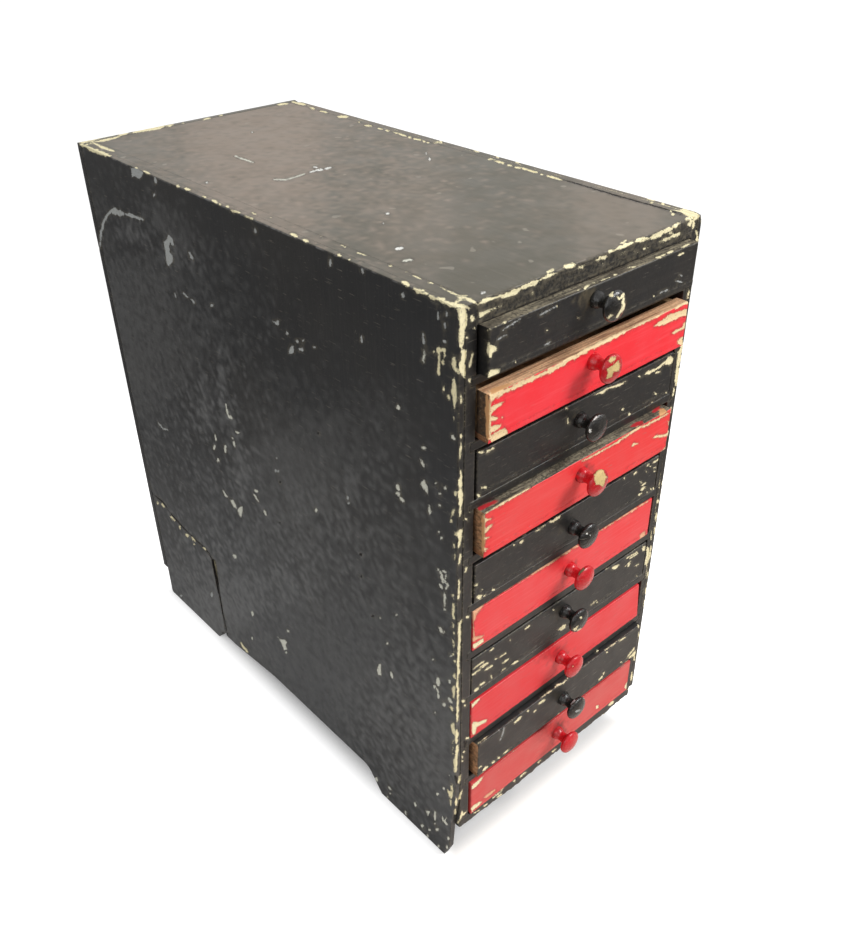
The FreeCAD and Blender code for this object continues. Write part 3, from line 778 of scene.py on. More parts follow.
def lay(node, face, material, wear=0.3, bare=None, name=None, reshape=None, **shape):
    """Makes a board in a node's place.

    Bare gives the faces that another material covers, and how far behind the front that begins.
    """
    points, shapes, edge = board(node, face, **shape)
    if reshape:
        points = reshape(points)
    finish_piece(f"{name or node}_worn", points, shapes, edge, wear, material, node, bare)


def box_boards(node):
    """The plan outlines of a drawer's two sides and of the rear between them."""
    points = to_case(np.array([vertex.co for vertex in frame["nodes"][node].data.vertices]))
    left, left_in, right_in, right = sorted(set(np.round(points[:, X], 2)))
    front, rear_in, rear = sorted(set(np.round(points[:, Y], 2)))

    def rectangle(x0, x1, y0, y1):
        return np.array([(x0, y0), (x1, y0), (x1, y1), (x0, y1)])

    return {
        "left_side": rectangle(left, left_in, front, rear),
        "right_side": rectangle(right_in, right, front, rear),
        "rear": rectangle(left_in, right_in, rear_in, rear),
    }


FIRST_ROW, ROW_GROWTH = 0.7, 1.35


def long_rows(deep, longest):
    """Depths of the rings on a board's long sides, close together by the front."""
    rows, at, step = [], 0.0, FIRST_ROW
    while at + step < deep:
        at += step
        rows.append(at)
        step = min(step * ROW_GROWTH, longest)
    return rows


KNOB_PROFILE = (  # distance out of the drawer's front, and radius
    (0, 5.4), (1.0, 5.3), (2.4, 5.0), (3.4, 4.5), (4.2, 4.0), (5.0, 3.75), (6.2, 3.65), (7.2, 3.75),
    (8.6, 4.3), (9.6, 5.2), (10.5, 6.6), (11.0, 7.8), (11.5, 8.6), (12.2, 9.1), (13.0, 9.25), (13.8, 9.05),
    (14.5, 8.45), (15.0, 7.6), (15.5, 6.2), (16.0, 4.4), (16.4, 2.2), (16.55, 0.0),
)
KNOB_SIDES = 96
KNOB_HEAD = 5.0  # from the tip to behind the widest place
KNOB_WIDEST = max(radius for _, radius in KNOB_PROFILE)
KNOB_TIP_ROOM = 0.05  # between the tip and the front of the CAD knob's box
OUT_OF_TRUE, KNOB_LUMP = 0.012, 4.0  # as a share of the radius, and over which length
KNOB_WEAR = 0.3
KNOB_WHOLE = 1.5  # how far from an edge even the widest place counts


def spline(points, per_side):
    """A smooth line through points."""
    padded = [points[0], *points, points[-1]]
    line = []
    for a, b, c, d in zip(padded, padded[1:], padded[2:], padded[3:]):
        for i in range(per_side):
            t = i / per_side
            line.append(tuple(0.5 * (2 * q + (r - p) * t + (2 * p - 5 * q + 4 * r - s) * t * t
                                     + (3 * q - p - 3 * r + s) * t ** 3) for p, q, r, s in zip(a, b, c, d)))
    return line + [points[-1]]


def knob(number):
    """A knob turned on a lathe from its profile, a little out of true."""
    node = f"drawer_{number}_knob"
    low, high = box_of(node)
    front = box_of(f"drawer_{number}_front")[0][Y]
    tip = low[Y] + KNOB_TIP_ROOM
    middle = (low + high) / 2
    profile = spline(KNOB_PROFILE, 3)
    longest = profile[-1][0]
    turns = np.arange(KNOB_SIDES) * 2 * math.pi / KNOB_SIDES
    rings = []
    for out, radius in profile[:-1]:
        y = front - out / longest * (front - tip)
        across, up = middle[X] + radius * np.cos(turns), middle[Z] + radius * np.sin(turns)
        rings.append(np.stack([across, np.full(KNOB_SIDES, y), up], axis=1))
    ends = np.array([[middle[X], tip, middle[Z]], [middle[X], front, middle[Z]]])
    points = np.concatenate([*rings, ends])
    shapes = []
    for row in range(len(rings) - 1):
        for side in range(KNOB_SIDES):
            after = (side + 1) % KNOB_SIDES
            here, there = row * KNOB_SIDES, (row + 1) * KNOB_SIDES
            shapes.append([here + side, here + after, there + after, there + side])
    last = (len(rings) - 1) * KNOB_SIDES
    for side in range(KNOB_SIDES):
        after = (side + 1) % KNOB_SIDES
        shapes.append([last + side, last + after, len(points) - 2])
        shapes.append([after, side, len(points) - 1])
    spokes = (points - middle) * (1, 0, 1)
    rim = np.abs(np.linalg.norm(spokes, axis=1) - KNOB_WIDEST)
    points = points - spokes * (OUT_OF_TRUE * (noise(points, KNOB_LUMP, number) + 1))[:, None]
    colour = "red_knob" if number in RED else "black_knob"
    finish_piece(f"{node}_turned", points, shapes, rim + KNOB_WHOLE, KNOB_WEAR, colour, node)


# The wear that the photograph shows, with a few painted highlights and a painted shadow line, read from it.
# Each row is a mark's width in millimetres and then the photograph's pixels that it passes, u and v by turns.
# A width of 0 means the area inside them.
LEFT_SIDE_GREY = (
    (2.0, 99, 248, 100.5, 240, 101, 232, 103, 224, 106, 217, 110, 212, 113, 209.5),
    (4.5, 112, 210.5, 118, 212, 124, 214), (2.2, 124, 214, 130, 215, 136, 217, 143, 220),
    (0, 168, 234.5, 171, 237, 173, 240, 174, 245.5, 171.5, 245, 170, 242, 169, 246, 170, 253, 173, 256,
     172.5, 262, 168.5, 266, 166.5, 263, 165.5, 252, 163.5, 242, 167, 239),
    (0, 188.5, 252, 190, 252, 193, 257.5, 193, 260, 190.5, 258),
    (0, 131, 168, 136, 168, 143, 172, 142, 176, 139, 179, 135, 176, 132, 177),
    (1.2, 174.5, 293, 176, 297.5), (1.2, 183, 292.5, 188, 298), (1.2, 191, 299, 194.5, 303),
    (2.2, 211.5, 305.5, 212, 306), (1.6, 154, 194, 154, 196.5), (1.6, 155, 178, 156, 183),
    (1.2, 255, 229, 256, 233), (1.0, 330, 259, 330, 266), (1.2, 362, 269, 363, 273),
    (1.4, 402.5, 293, 403, 298), (0, 446, 311.5, 447.7, 313, 447.7, 316, 445.3, 316),
    (1.3, 445, 323, 445, 328), (0.8, 438, 312, 438, 319), (1.4, 444, 340.5, 444.5, 342),
    (1.0, 361.5, 336, 362, 342), (1.0, 423, 334, 424, 343),
    (0, 273, 321, 276, 322, 277.5, 320, 279, 321, 278.5, 325.5, 275, 324), (1.5, 287, 332.5, 287, 334.5),
    (1.5, 297, 340, 297.5, 342), (1.3, 303, 340.5, 303.5, 341),
    (0, 289, 353.5, 289, 350, 291, 346, 293.5, 346, 294, 351, 292, 354), (1.8, 300, 348.5, 302, 350),
    (1.0, 314, 347, 315, 347.5), (1.3, 276.5, 458, 277, 458.5), (1.3, 276, 470, 276, 472),
    (1.3, 278, 470.5, 278.2, 472), (1.0, 347.5, 497, 348, 499), (1.2, 348, 503.5, 349, 503.5),
    (1.3, 158, 423, 161, 426, 163, 429, 168, 430), (2.0, 181, 595, 181.5, 596.5),
    (1.8, 212, 592, 211.7, 597),
)
LEFT_SIDE_PALE = (
    (1.2, 424, 350, 424.5, 355, 423, 360, 424, 362.5), (1.2, 226, 404, 227, 412, 229, 416.5),
    (1.8, 229, 416.5, 232, 418), (1.3, 236, 432, 239, 433), (1.2, 215, 435, 216, 441),
    (1.9, 214.5, 446, 214, 449.5), (1.9, 225, 446, 225.5, 452), (1.4, 232, 437, 233, 439),
    (1.4, 233.5, 441.5, 235, 447), (3.0, 217.5, 460, 218.5, 460), (1.3, 223, 490.5, 227, 497),
    (0, 230.5, 500, 233, 500, 235.5, 504.5, 237, 509, 234, 507, 232, 504),
    (0, 237.5, 510, 240, 507, 242.5, 506.5, 242.5, 512, 241, 517.5, 239, 514),
    (1.2, 254, 494.5, 258.5, 501.5), (2.0, 255.5, 490.5, 257, 491.5), (1.9, 264.5, 511, 265.5, 514.5),
    (1.8, 233.5, 554.5, 236, 558), (1.4, 252, 612, 253, 615.5), (1.2, 252, 637, 252.3, 639.5),
    (1.7, 287, 630, 288.5, 632), (1.8, 286, 652, 286.5, 653),
    (0, 278, 637, 280, 639.5, 284, 639.5, 287, 642, 285.5, 645, 287, 649.5, 284, 650, 281.5, 643),
    (0, 379, 664, 380.7, 664, 381, 670, 381, 675, 378.5, 675, 377, 670, 378, 667),
    (1.5, 391, 672, 392, 677.5), (1.8, 387.3, 643, 387.6, 644), (1.5, 396, 615, 396.3, 615.5),
    (1.5, 380, 618, 380.3, 618.3), (0, 437, 677.5, 439, 678, 440.2, 682, 439.5, 686, 437.5, 686, 436, 682),
    (1.2, 436.5, 688, 438, 693, 438.5, 698), (1.6, 434, 685.5, 435, 687.5), (1.8, 444, 703.5, 444.2, 706),
    (1.8, 435, 712, 435.2, 713.5), (1.6, 433, 659, 433.5, 659.5), (1.8, 450, 655, 450.5, 656),
    (1.8, 448.5, 697, 451.5, 703), (1.3, 449, 680, 450, 683.5), (0, 426, 811, 430, 811, 428, 815.5),
    (1.3, 415, 802, 415.5, 806.5), (1.9, 437, 793.5, 437.3, 795), (1.2, 435, 811, 435, 820.5),
    (1.6, 435, 823, 435.3, 824), (2.8, 437, 830, 437.5, 830.3), (1.9, 429, 829.5, 429.3, 830.5),
    (1.7, 422, 825, 422.3, 827), (1.3, 446, 818.5, 445, 820, 445, 822, 447, 824.5),
    (1.1, 442.5, 817, 443, 821.5), (1.6, 448.5, 837, 448.5, 839.5), (1.4, 447, 846, 447.3, 848.5),
    (1.6, 427, 834.5, 428, 837), (1.6, 438, 845.5, 438.5, 846.5), (1.6, 448.5, 774, 448.5, 776.5),
    (1.3, 443.5, 788, 443.8, 789), (1.6, 405, 811, 406, 815), (1.6, 376, 778, 377, 781),
    (1.3, 389, 787, 391, 790), (1.3, 390, 793, 390.3, 794), (1.3, 387, 796.5, 388, 797.5),
    (1.8, 398, 406, 398.5, 408.5), (1.4, 452, 435.5, 455, 439.5), (1.8, 423, 447.5, 425, 448),
    (0, 420, 459, 422, 460.5, 424, 464, 424.5, 467.8, 422, 465),
    (0, 423, 480, 424.5, 480.5, 425.5, 483, 428, 487, 427.7, 494, 425, 490.5, 422, 486.5, 420.5, 484),
    (1.8, 397.5, 485.5, 399, 489.5), (1.8, 396, 492.5, 398.5, 494, 398, 496), (1.5, 400, 498, 404, 501.7),
    (1.4, 429, 505.5, 429.5, 511, 430, 513), (1.4, 445, 487, 444.5, 489), (1.2, 435.5, 483, 436, 484),
    (1.2, 440, 493, 440.3, 494), (1.2, 439.5, 505, 440, 506), (1.8, 316, 509, 316, 511.5),
    (1.9, 438.5, 531, 439.5, 533), (1.2, 441, 537.5, 442, 538.5), (1.2, 440, 571, 442, 575, 443, 582.5),
    (1.2, 441, 577, 444, 580, 446, 583), (1.2, 446, 575, 445, 579), (1.2, 447.5, 583, 448, 586, 446, 588.5),
    (1.5, 439.5, 584.5, 442, 588.5), (1.2, 443, 571, 446, 572.5), (1.0, 438, 569.5, 439, 570),
    (1.3, 444.3, 593, 445, 597, 444.5, 606), (1.2, 445, 609, 445.3, 610),
    (1.5, 439, 627.5, 441, 630, 442, 632), (1.2, 444, 631.5, 443.5, 633.5),
)
LEFT_SIDE_CREAM = (
    (0, 437, 347.5, 439, 346.5, 441, 349, 444, 347.5, 446, 350, 445, 353, 446, 356, 444, 358, 444, 353,
     442, 351, 440, 352, 440, 360, 440, 375, 438, 375.5, 437, 373, 438, 365, 438, 355, 436.5, 350),
    (1.2, 443, 360, 443, 365), (1.0, 434, 351.5, 434.3, 352), (1.2, 443.5, 387, 444, 390),
    (0, 453, 357, 455, 356.5, 456, 362, 456, 367, 458.5, 370.5, 459, 374, 454, 370.5, 452, 366, 452, 361),
    (0, 453, 377, 455, 380, 456, 386, 456, 391, 457, 398, 455.5, 404, 454.5, 411, 453.5, 405, 453, 398,
     451, 392, 452, 385), (1.0, 448, 395, 449, 399), (1.2, 453.5, 416, 453.5, 420),
    (1.4, 455, 491, 455.5, 495.5), (1.2, 453.5, 508.5, 453, 511, 452.3, 514.5), (1.2, 451, 519, 451, 522),
    (1.4, 455.5, 533, 456.5, 535), (1.3, 454, 543, 453.5, 549), (1.1, 454.5, 554, 454.2, 560),
    (1.1, 452, 593.5, 453, 596.5), (1.4, 453, 600, 453.3, 606, 453, 612, 454, 619),
    (1.1, 452, 623.5, 453.5, 625.5, 453, 627.5, 451, 628.5), (1.3, 453.5, 632.5, 453.5, 634.5),
    (1.4, 453.5, 639, 453.3, 647), (1.4, 453.5, 651, 453, 655), (1.2, 455, 660, 454.5, 662.5),
    (0, 452, 674, 455, 673.5, 456, 679, 453.5, 678),
    (0, 454, 685, 455.5, 688, 455, 692, 454, 698, 452.5, 697, 452, 691, 453, 687),
    (1.6, 450, 706, 453, 711.5), (2.0, 452, 721, 452.5, 727, 454, 733), (1.4, 452, 739, 452, 748, 453, 754),
    (1.6, 451, 783, 452, 789, 451.5, 797), (2.0, 448, 790, 450, 794, 451.5, 799),
    (1.5, 451, 800, 450.5, 805), (2.4, 241, 643, 244, 648, 248, 652), (1.6, 157, 502, 158, 504),
    (1.8, 162, 503.5, 164, 507), (2.0, 171, 516.5, 175, 521), (1.6, 180, 526, 180, 529),
    (2.4, 186, 534, 188, 536.5), (1.8, 192, 537, 195, 541.5), (1.4, 194, 544, 194.5, 545),
    (1.8, 203, 547, 206, 550),
)
LEFT_SIDE_DARK = (
    (0, 211.5, 560.5, 213, 559, 215, 560, 216.5, 566, 217.5, 575, 219, 590, 218.3, 594, 217, 588,
     214.5, 575, 213, 566), (0.9, 219, 594, 221, 602, 222.5, 612, 225, 621, 226.7, 631),
    (1.6, 222, 632.5, 225, 634.5, 228, 633.5), (1.2, 156, 496, 162, 501.5, 167, 507.5),
    (1.2, 171, 514, 176, 519.5, 182, 526.5, 188, 532.5),
    (1.0, 188, 532.5, 195, 539, 202, 545.5, 208, 552, 212, 558.5), (1.6, 318, 432.5, 318.3, 433.5),
    (1.3, 280, 481.5, 280.3, 482.5), (1.8, 373, 615.5, 373.3, 616.5), (1.5, 360.5, 554, 361, 555),
    (1.6, 361, 576, 361.5, 576.5), (1.4, 279.5, 522.5, 280, 523), (1.3, 438, 681.3, 438.3, 682),
)
LEFT_FRONT_CREAM = (
    (0, 456.5, 308, 458, 312, 458.5, 318, 460, 322, 459, 330, 458.5, 340, 459.5, 347, 462, 349, 463, 345,
     464, 338, 465, 330, 467, 323, 467.5, 316, 466, 310, 463, 307),
    (0, 461.5, 349, 466, 350, 466.5, 357, 465, 362, 465.5, 374, 464.5, 378, 461, 373.5, 459, 371, 459, 362,
     461.5, 360), (1.2, 461, 394.5, 461, 402.5), (1.0, 461, 434.5, 461, 438),
    (0, 461, 442, 462, 447, 461, 452, 460, 460, 459.3, 455, 459.7, 449),
    (0, 460.5, 468, 461.5, 472, 462.5, 477, 461.5, 480, 462.5, 485, 461.5, 489, 463, 493, 463, 500,
     462.3, 505, 460, 506, 458.7, 503.5, 459.5, 500, 458, 497, 458, 492, 459.8, 488, 458.3, 484, 458.5, 480,
     460.3, 476, 460, 472), (1.0, 460.5, 506, 460.3, 512, 459.7, 517.5),
    (0, 459, 530, 463, 528.5, 462, 533, 462, 538, 461, 541, 459.3, 541, 458.5, 537.5, 456.5, 535.5,
     457, 532), (1.2, 459.3, 541, 458.7, 547.5),
    (0, 460, 553, 461.3, 553.5, 461, 560, 459.5, 565.5, 458.3, 564, 459, 558),
    (1.0, 459.3, 580, 459, 589, 458.3, 599),
    (0, 462.7, 619, 460.7, 625, 460.7, 630, 461.5, 633, 460.3, 635.5, 461.2, 640, 460, 644, 460.3, 651,
     459, 653, 457.5, 648, 458.5, 640, 458, 632, 458.5, 625, 459.3, 622),
    (1.6, 458.7, 651, 458.5, 660, 458.5, 668, 458.3, 676), (1.5, 458, 676, 457.2, 686, 458, 689, 458, 700),
    (1.4, 458, 700, 457.5, 712, 457.3, 721), (1.8, 457, 730, 456.7, 738, 456.3, 743),
    (2.0, 457.3, 745, 457, 753), (2.4, 456.3, 755, 455.5, 763, 455.5, 771),
    (0, 459, 776, 461, 774.3, 460.5, 780, 459, 784.5, 457.7, 782),
    (0, 462.3, 790, 460.5, 799, 458.3, 799.5, 459.5, 794), (1.6, 456.5, 798, 456, 805.5),
    (1.4, 455.5, 809, 455.5, 815.5), (0, 470.5, 315, 472.5, 314, 474.5, 319, 473, 322, 470.5, 321.5),
    (1.0, 474.5, 328, 474.5, 329.5), (1.0, 467, 337.5, 467, 338.5), (0.8, 473, 353, 471, 360, 469.5, 367),
    (1.0, 469.5, 379, 469.5, 382), (1.5, 465, 518.5, 467, 519.5), (1.3, 466.5, 567.5, 465.3, 572.5),
    (1.8, 467.3, 616.7, 467.8, 617.3), (0, 461, 701, 463, 699.3, 465.3, 700.5, 464, 703, 462, 702.3),
    (1.2, 465, 704.5, 464.7, 706), (1.2, 466, 738.7, 469.5, 737.3), (1.2, 464, 751.5, 464.3, 752.3),
    (1.3, 462.8, 756, 462.8, 758), (1.3, 462.3, 760.5, 462.3, 761.5),
    (0, 456, 823.5, 459, 820, 460.5, 815, 462, 811, 463.5, 813, 466.7, 810.8, 465.7, 814, 462.3, 816,
     460.3, 820, 458.3, 823.5, 456.7, 825.3),
)
LEFT_FRONT_SALMON = (
    (0, 458.3, 308.5, 461, 309, 461.3, 315, 458.7, 315.5),
    (0, 459.5, 361.5, 462.5, 361.5, 463, 371, 460, 371.5),
)
LEFT_FRONT_DARK = (
    (0, 457, 620.3, 460, 621.5, 459, 623, 457, 622.5),
    (0, 454, 774.5, 457, 776.5, 458.3, 784, 456, 784.5, 455, 780),
    (0, 463.5, 741.5, 465.3, 741, 465.3, 747.5, 464, 748), (0.9, 461.5, 314, 461.7, 314.5),
    (0.8, 461, 319, 461.2, 320),
)
RIGHT_FRONT_CREAM = (
    (2.4, 683, 343, 680.5, 350, 678.5, 360, 677, 372, 676.3, 385), (1.4, 671.5, 407, 670, 413),
    (1.2, 663, 480, 662, 484), (1.6, 657.5, 500.3, 657.8, 503), (1.0, 656.7, 513, 655.5, 521),
    (2.4, 648.3, 548, 647.7, 555, 647, 561.5, 646.5, 566.5), (1.4, 647, 583.7, 647.5, 585),
    (1.4, 637.7, 631, 638.7, 636.5), (1.2, 637, 657.3, 636.3, 662.3),
    (1.4, 696.5, 231, 697.3, 236, 697, 241), (1.5, 629, 687.3, 631, 685.7), (1.2, 651.5, 531, 651, 540),
    (1.0, 688, 318, 686, 330), (1.2, 658, 499, 657, 503), (1.2, 656, 515, 656, 521),
    (1.0, 655, 527, 654, 533), (1.1, 651, 546, 650, 557), (1.0, 648, 571, 647, 578),
    (1.2, 646, 588, 646, 594), (1.0, 645, 600, 644, 607), (1.2, 637, 631, 636, 640),
    (1.2, 635, 650, 634, 660), (1.2, 632, 672, 631, 680), (1.5, 631, 686, 628, 690),
    (1.0, 660, 480, 659, 488), (1.0, 668, 430, 667, 436), (1.0, 674, 388, 673, 396),
    (1.2, 692, 262, 691, 272), (1.0, 689, 290, 688, 298),
)
TOP_CREAM = (
    (3.0, 80, 144, 92, 149.5, 100, 152.5, 110, 156), (1.7, 80, 143, 95, 139, 106, 136, 118, 133.5),
    (1.6, 84, 145, 96, 142, 108, 139.5, 120, 136.5), (2.2, 92, 142, 100, 146, 107, 149, 115, 151.5),
    (2.0, 118, 135.7, 128, 133), (2.6, 133, 132.5, 141, 130.5, 150, 129.5, 160, 127.5, 164, 126.5),
    (2.0, 168, 126, 173, 124.5), (1.5, 182, 123, 184, 122.5), (1.5, 203, 119.5, 211, 117.8),
    (1.5, 219, 116, 223, 114.7), (1.5, 135, 167.5, 137, 168.3), (1.5, 144, 171, 150, 174),
    (1.8, 177, 186, 179, 186.5), (1.9, 185, 188.5, 190, 189.7), (1.4, 203, 196.5, 206, 197.3),
    (1.8, 212, 200.3, 217, 202.3), (1.4, 219, 204, 221, 205), (1.4, 226, 206, 229, 207),
    (1.4, 230, 210, 236, 211.7, 240, 213), (1.3, 245, 216, 253, 219), (1.6, 291, 233.5, 297, 236.7),
    (1.6, 303, 239.3, 308, 241.7), (1.3, 338, 254.5, 341, 256), (1.2, 349, 259.5, 350, 260),
    (1.8, 402, 281.5, 406, 283.5, 409, 286), (1.8, 414, 288.3, 418, 291, 422, 293.3),
    (1.2, 418, 290.5, 424, 290.3), (1.4, 423, 293.5, 428, 293.3), (1.6, 430, 296, 435, 298.7, 444, 299),
    (2.4, 440, 300.5, 448, 303.3, 455, 305.5),
    (2.0, 455, 303.7, 459, 298.7, 464, 297.3, 470, 300, 478, 304.5), (1.8, 455, 304.5, 462, 306, 469, 308),
    (1.6, 476, 304, 480, 302.8, 486, 300, 492, 298.7, 498, 297, 504, 295, 510, 293.7, 516, 292, 520, 290.3),
    (0, 499, 297, 505, 294, 514, 290, 521, 290, 515, 295, 509, 297, 503, 298.3),
    (2.0, 514, 291, 524, 287, 532, 284, 540, 280), (1.6, 540, 280, 548, 276, 556, 273),
    (1.2, 520, 288, 530, 285), (1.2, 547, 272, 554, 270),
    (0, 563, 267.5, 565, 264.5, 572, 263, 577, 264.5, 572, 268, 567, 268.5), (1.5, 579, 268, 584, 266),
    (2.0, 597, 260.7, 601, 258, 606, 256.5), (1.8, 609, 251.5, 616, 249.7),
    (2.2, 618, 249, 624, 246, 634, 242), (1.3, 621, 243.5, 626, 240.5),
    (2.2, 634, 242, 642, 239.5, 648, 238), (2.5, 651, 238, 658, 235, 662, 232.5),
    (2.5, 660, 233, 666, 231, 672, 229), (2.2, 674, 227, 680, 222.5),
    (0, 680, 210, 684, 208.5, 690, 210.5, 697, 212.5, 701, 215, 698, 218, 695, 221, 692, 218.5, 686, 215.5,
     682, 213), (1.4, 685.5, 219.5, 687, 218, 690, 218.5, 691, 221, 690, 225, 688, 224),
    (1.4, 693, 219, 694, 223, 692, 229.5), (1.3, 676.5, 210.8, 678, 211.5), (1.3, 670, 210.8, 672, 211),
    (1.5, 672, 214.5, 674, 214.7), (1.6, 647, 198, 655, 200), (1.3, 650, 202.5, 653, 202.5),
    (1.4, 662, 204, 664, 203.3), (1.4, 365, 125.3, 372, 126), (1.4, 378, 128.5, 382, 129),
    (1.6, 386, 130.5, 389, 131), (1.4, 394, 132, 397, 133), (1.6, 399, 133.7, 406, 136),
    (1.4, 409, 137, 411, 137.7), (1.6, 414, 138.7, 421, 140), (1.4, 423, 141, 425, 141.5),
    (1.1, 427, 142.5, 429, 142.7), (1.6, 434, 142.7, 438, 141.5), (1.4, 440, 140.5, 442, 143),
    (1.4, 488, 159, 492, 159), (1.6, 495, 160.7, 504, 163.5), (1.5, 508, 165, 512, 165.7),
    (1.5, 515, 167, 520, 168), (1.5, 523, 168.7, 528, 169.5), (1.5, 528, 170.3, 537, 172.5),
    (1.2, 541, 174.3, 543, 174.7), (1.4, 547, 175.7, 562, 180), (2.2, 292, 101.5, 299, 103.3, 306, 105),
    (1.8, 310, 107.3, 315, 109), (2.0, 338, 116.8, 348, 116.7), (1.4, 320, 110.8, 328, 112.7),
    (1.3, 359, 122, 360, 122.5), (1.6, 277, 104.7, 288, 103.5), (1.3, 474, 150.6, 479, 152),
    (1.2, 497, 157, 499, 157.6), (1.2, 516, 162.3, 519, 162.8),
)
SEAM_DASHES = (
    (0.8, 341, 245, 346, 247.7), (1, 356.5, 251.7, 359, 253), (0.9, 362, 254.7, 364, 254.3),
    (0.8, 368.5, 256.7, 369, 257), (1, 388, 264.7, 392, 266.3), (0.9, 406, 272.7, 408, 273.3),
    (0.9, 413.5, 275.7, 416, 276.7), (0.8, 419, 278.3, 421, 279.7), (1.2, 427.5, 281.3, 432, 283.7),
    (0.8, 438, 286.3, 441, 286.7), (0.8, 444, 288.7, 445, 289), (1, 447.5, 290.3, 451, 291.7),
    (0.9, 454, 293.3, 456, 294.7), (0.8, 321, 236, 323, 238), (0.9, 270, 217, 271, 217.5),
    (1, 252, 212.3, 256, 215),
)
TOP_WHITE = (
    (1.5, 316, 170.5, 323, 169.3), (1.5, 325, 168.8, 331, 167.3), (0.9, 310, 172.3, 316, 170.5),
    (1.0, 314, 167, 317, 167.5), (1.9, 396.5, 249, 399, 248.3, 402.5, 247.7), (1.2, 386, 213.7, 389, 213.5),
    (0.9, 383, 223, 384, 223.3), (1.4, 206, 182.3, 207.5, 182.7), (1.2, 252, 132, 252.5, 132.3),
    (1.3, 429.3, 158, 429.7, 160), (1.0, 426, 153, 426.3, 154), (1.2, 481, 293.3, 485, 292.3),
)
TOP_SCRATCHES = (
    (0.9, 274, 179.5, 285, 179.7, 295, 177, 305, 174), (1.1, 235, 156, 240, 158, 248, 160.5, 253, 162.3),
    (1.3, 403, 261, 407, 260.5, 412, 259.7),
)
# Its first row is a painted shadow line along the top board's front, above drawer 1; the rest are a dark seam
# and a dark spot.
TOP_SHADOW_LINE_AND_DARK = (
    (1.0, 478, 324.5, 541, 298.5, 601, 274, 655, 252, 690, 237),
    (0.7, 562, 179.3, 580, 184.5, 600, 190.7, 620, 196.7, 640, 202.3, 655, 206.3, 670, 210.5, 682, 215),
    (1.6, 688.5, 220.5, 689, 221),
)
TOP_FRONT_CREAM = (
    (0, 479, 313, 486, 310.5, 494, 308, 502, 305.5, 497, 308.5, 490, 311, 484, 315, 480, 318.5),
    (1.3, 648, 248, 648.5, 247.5), (1.3, 643, 249.7, 645, 248.5), (1.2, 634, 250.3, 634.5, 250.5),
    (1.7, 636.7, 252.3, 637.3, 252.7), (1.0, 620, 255, 625, 251.5), (1.2, 660, 242, 668, 238.5, 672, 237),
    (2.0, 672, 236.7, 676, 235, 680, 233.3), (1.2, 668, 234, 672, 232.3), (1.0, 532, 293.5, 533, 293),
    (1.0, 602, 263.5, 603, 263),
)
DRAWER_1_CREAM = (
    (0.8, 487, 330, 491, 329), (0.8, 495.5, 326.7, 496, 326.5), (0.8, 503, 323, 506, 321.5),
    (0.8, 577, 291, 580, 289.5), (1.2, 584, 289, 590, 284), (0.7, 590, 284, 600, 280.5, 610, 277),
    (1.2, 613, 275, 617, 274.5), (1, 628, 268, 635, 266.5), (1.1, 656, 257.7, 660, 257, 665, 254.5),
    (1.4, 668, 253, 673, 250.7), (1.2, 678, 255.5, 684, 253), (1.1, 681, 248, 689, 244),
    (0, 488.5, 342, 491, 345, 496, 347, 497, 350, 493, 352.5, 491, 357, 489.5, 357.5, 487, 352, 487, 347),
    (0, 489, 371, 492, 369.5, 499, 369, 500, 372, 497, 375, 494, 377, 491, 379.5, 487, 377.5),
    (0.8, 527.5, 360.5, 527.8, 360.8), (0.8, 515, 362, 515.3, 362.3), (0.7, 547, 330.5, 547.3, 330.8),
    (0.7, 557, 306, 557.3, 306.3), (0.7, 578, 318, 578.3, 318.3), (0.9, 653.5, 296, 654, 296.3),
    (0.7, 606, 323.5, 606.3, 323.8), (0.7, 526, 313, 526.3, 313.3),
)
DRAWER_1_GREY = (
    (0.5, 540, 315, 557, 306), (0.5, 503, 330, 520, 319), (0.5, 497, 340, 506, 335),
    (0.5, 545, 345, 550, 342), (0.8, 680, 275, 682, 275.5), (0.7, 676, 281, 682, 282),
    (0.7, 660, 293, 668, 289.5),
)
DRAWER_2_CREAM = (
    (2.2, 493, 398.5, 505, 391.5, 520, 384.5, 540, 375.5, 560, 365.5, 572, 358.5, 590, 348.5, 612, 338,
     632, 328), (1.3, 632, 328, 650, 319.5, 660, 315.5),
    (0, 489, 393, 500, 390, 508, 389, 516, 384.5, 522, 382, 513, 388, 507, 391, 500, 394.5, 495, 398,
     490.5, 404), (0, 490.5, 407, 497, 404, 504, 401.5, 501, 405, 495, 410, 491, 414),
    (0, 490.5, 417, 494, 416, 498.5, 418, 495, 420.5, 491, 421),
    (0, 490.5, 426.5, 495, 425, 501, 424.5, 499, 428, 494, 432, 490.5, 433),
    (0.9, 502, 417.5, 502.3, 417.8),
    (0, 490.5, 436, 496, 432, 505, 428, 508, 433, 504, 437, 496, 440.5, 491, 442.5),
    (1.0, 490, 404, 490.3, 440),
    (0, 654, 326.5, 659, 322, 665, 318, 670, 314, 678, 312, 685, 309, 688.5, 309, 687.5, 315, 680, 317,
     676, 319.5, 670, 322, 662, 325.5),
    (0, 674, 309, 678, 305, 684, 302, 689, 300, 689, 303, 682, 305.7, 676, 309.3),
    (0.9, 664, 311, 656, 318),
    (0, 672, 333, 676, 330, 682, 327.5, 684, 323, 686.5, 320, 685.5, 328, 680, 330.5, 674, 334),
    (0, 677, 341, 681, 337.5, 685, 336, 685, 340, 682, 345, 678, 344),
)
DRAWER_2_RED = (
    (1.6, 496.5, 435, 499.5, 433), (0.9, 683, 317, 684, 316.7),
)
DRAWER_2_TAN = (
    (2.4, 487, 396, 487.8, 415, 487.5, 438),
    (0, 490, 389, 500, 386, 513, 382, 506, 388, 498, 393, 491, 398),
)
DRAWER_4_TAN = (
    (2, 483, 516, 483.5, 535, 483, 553),
)
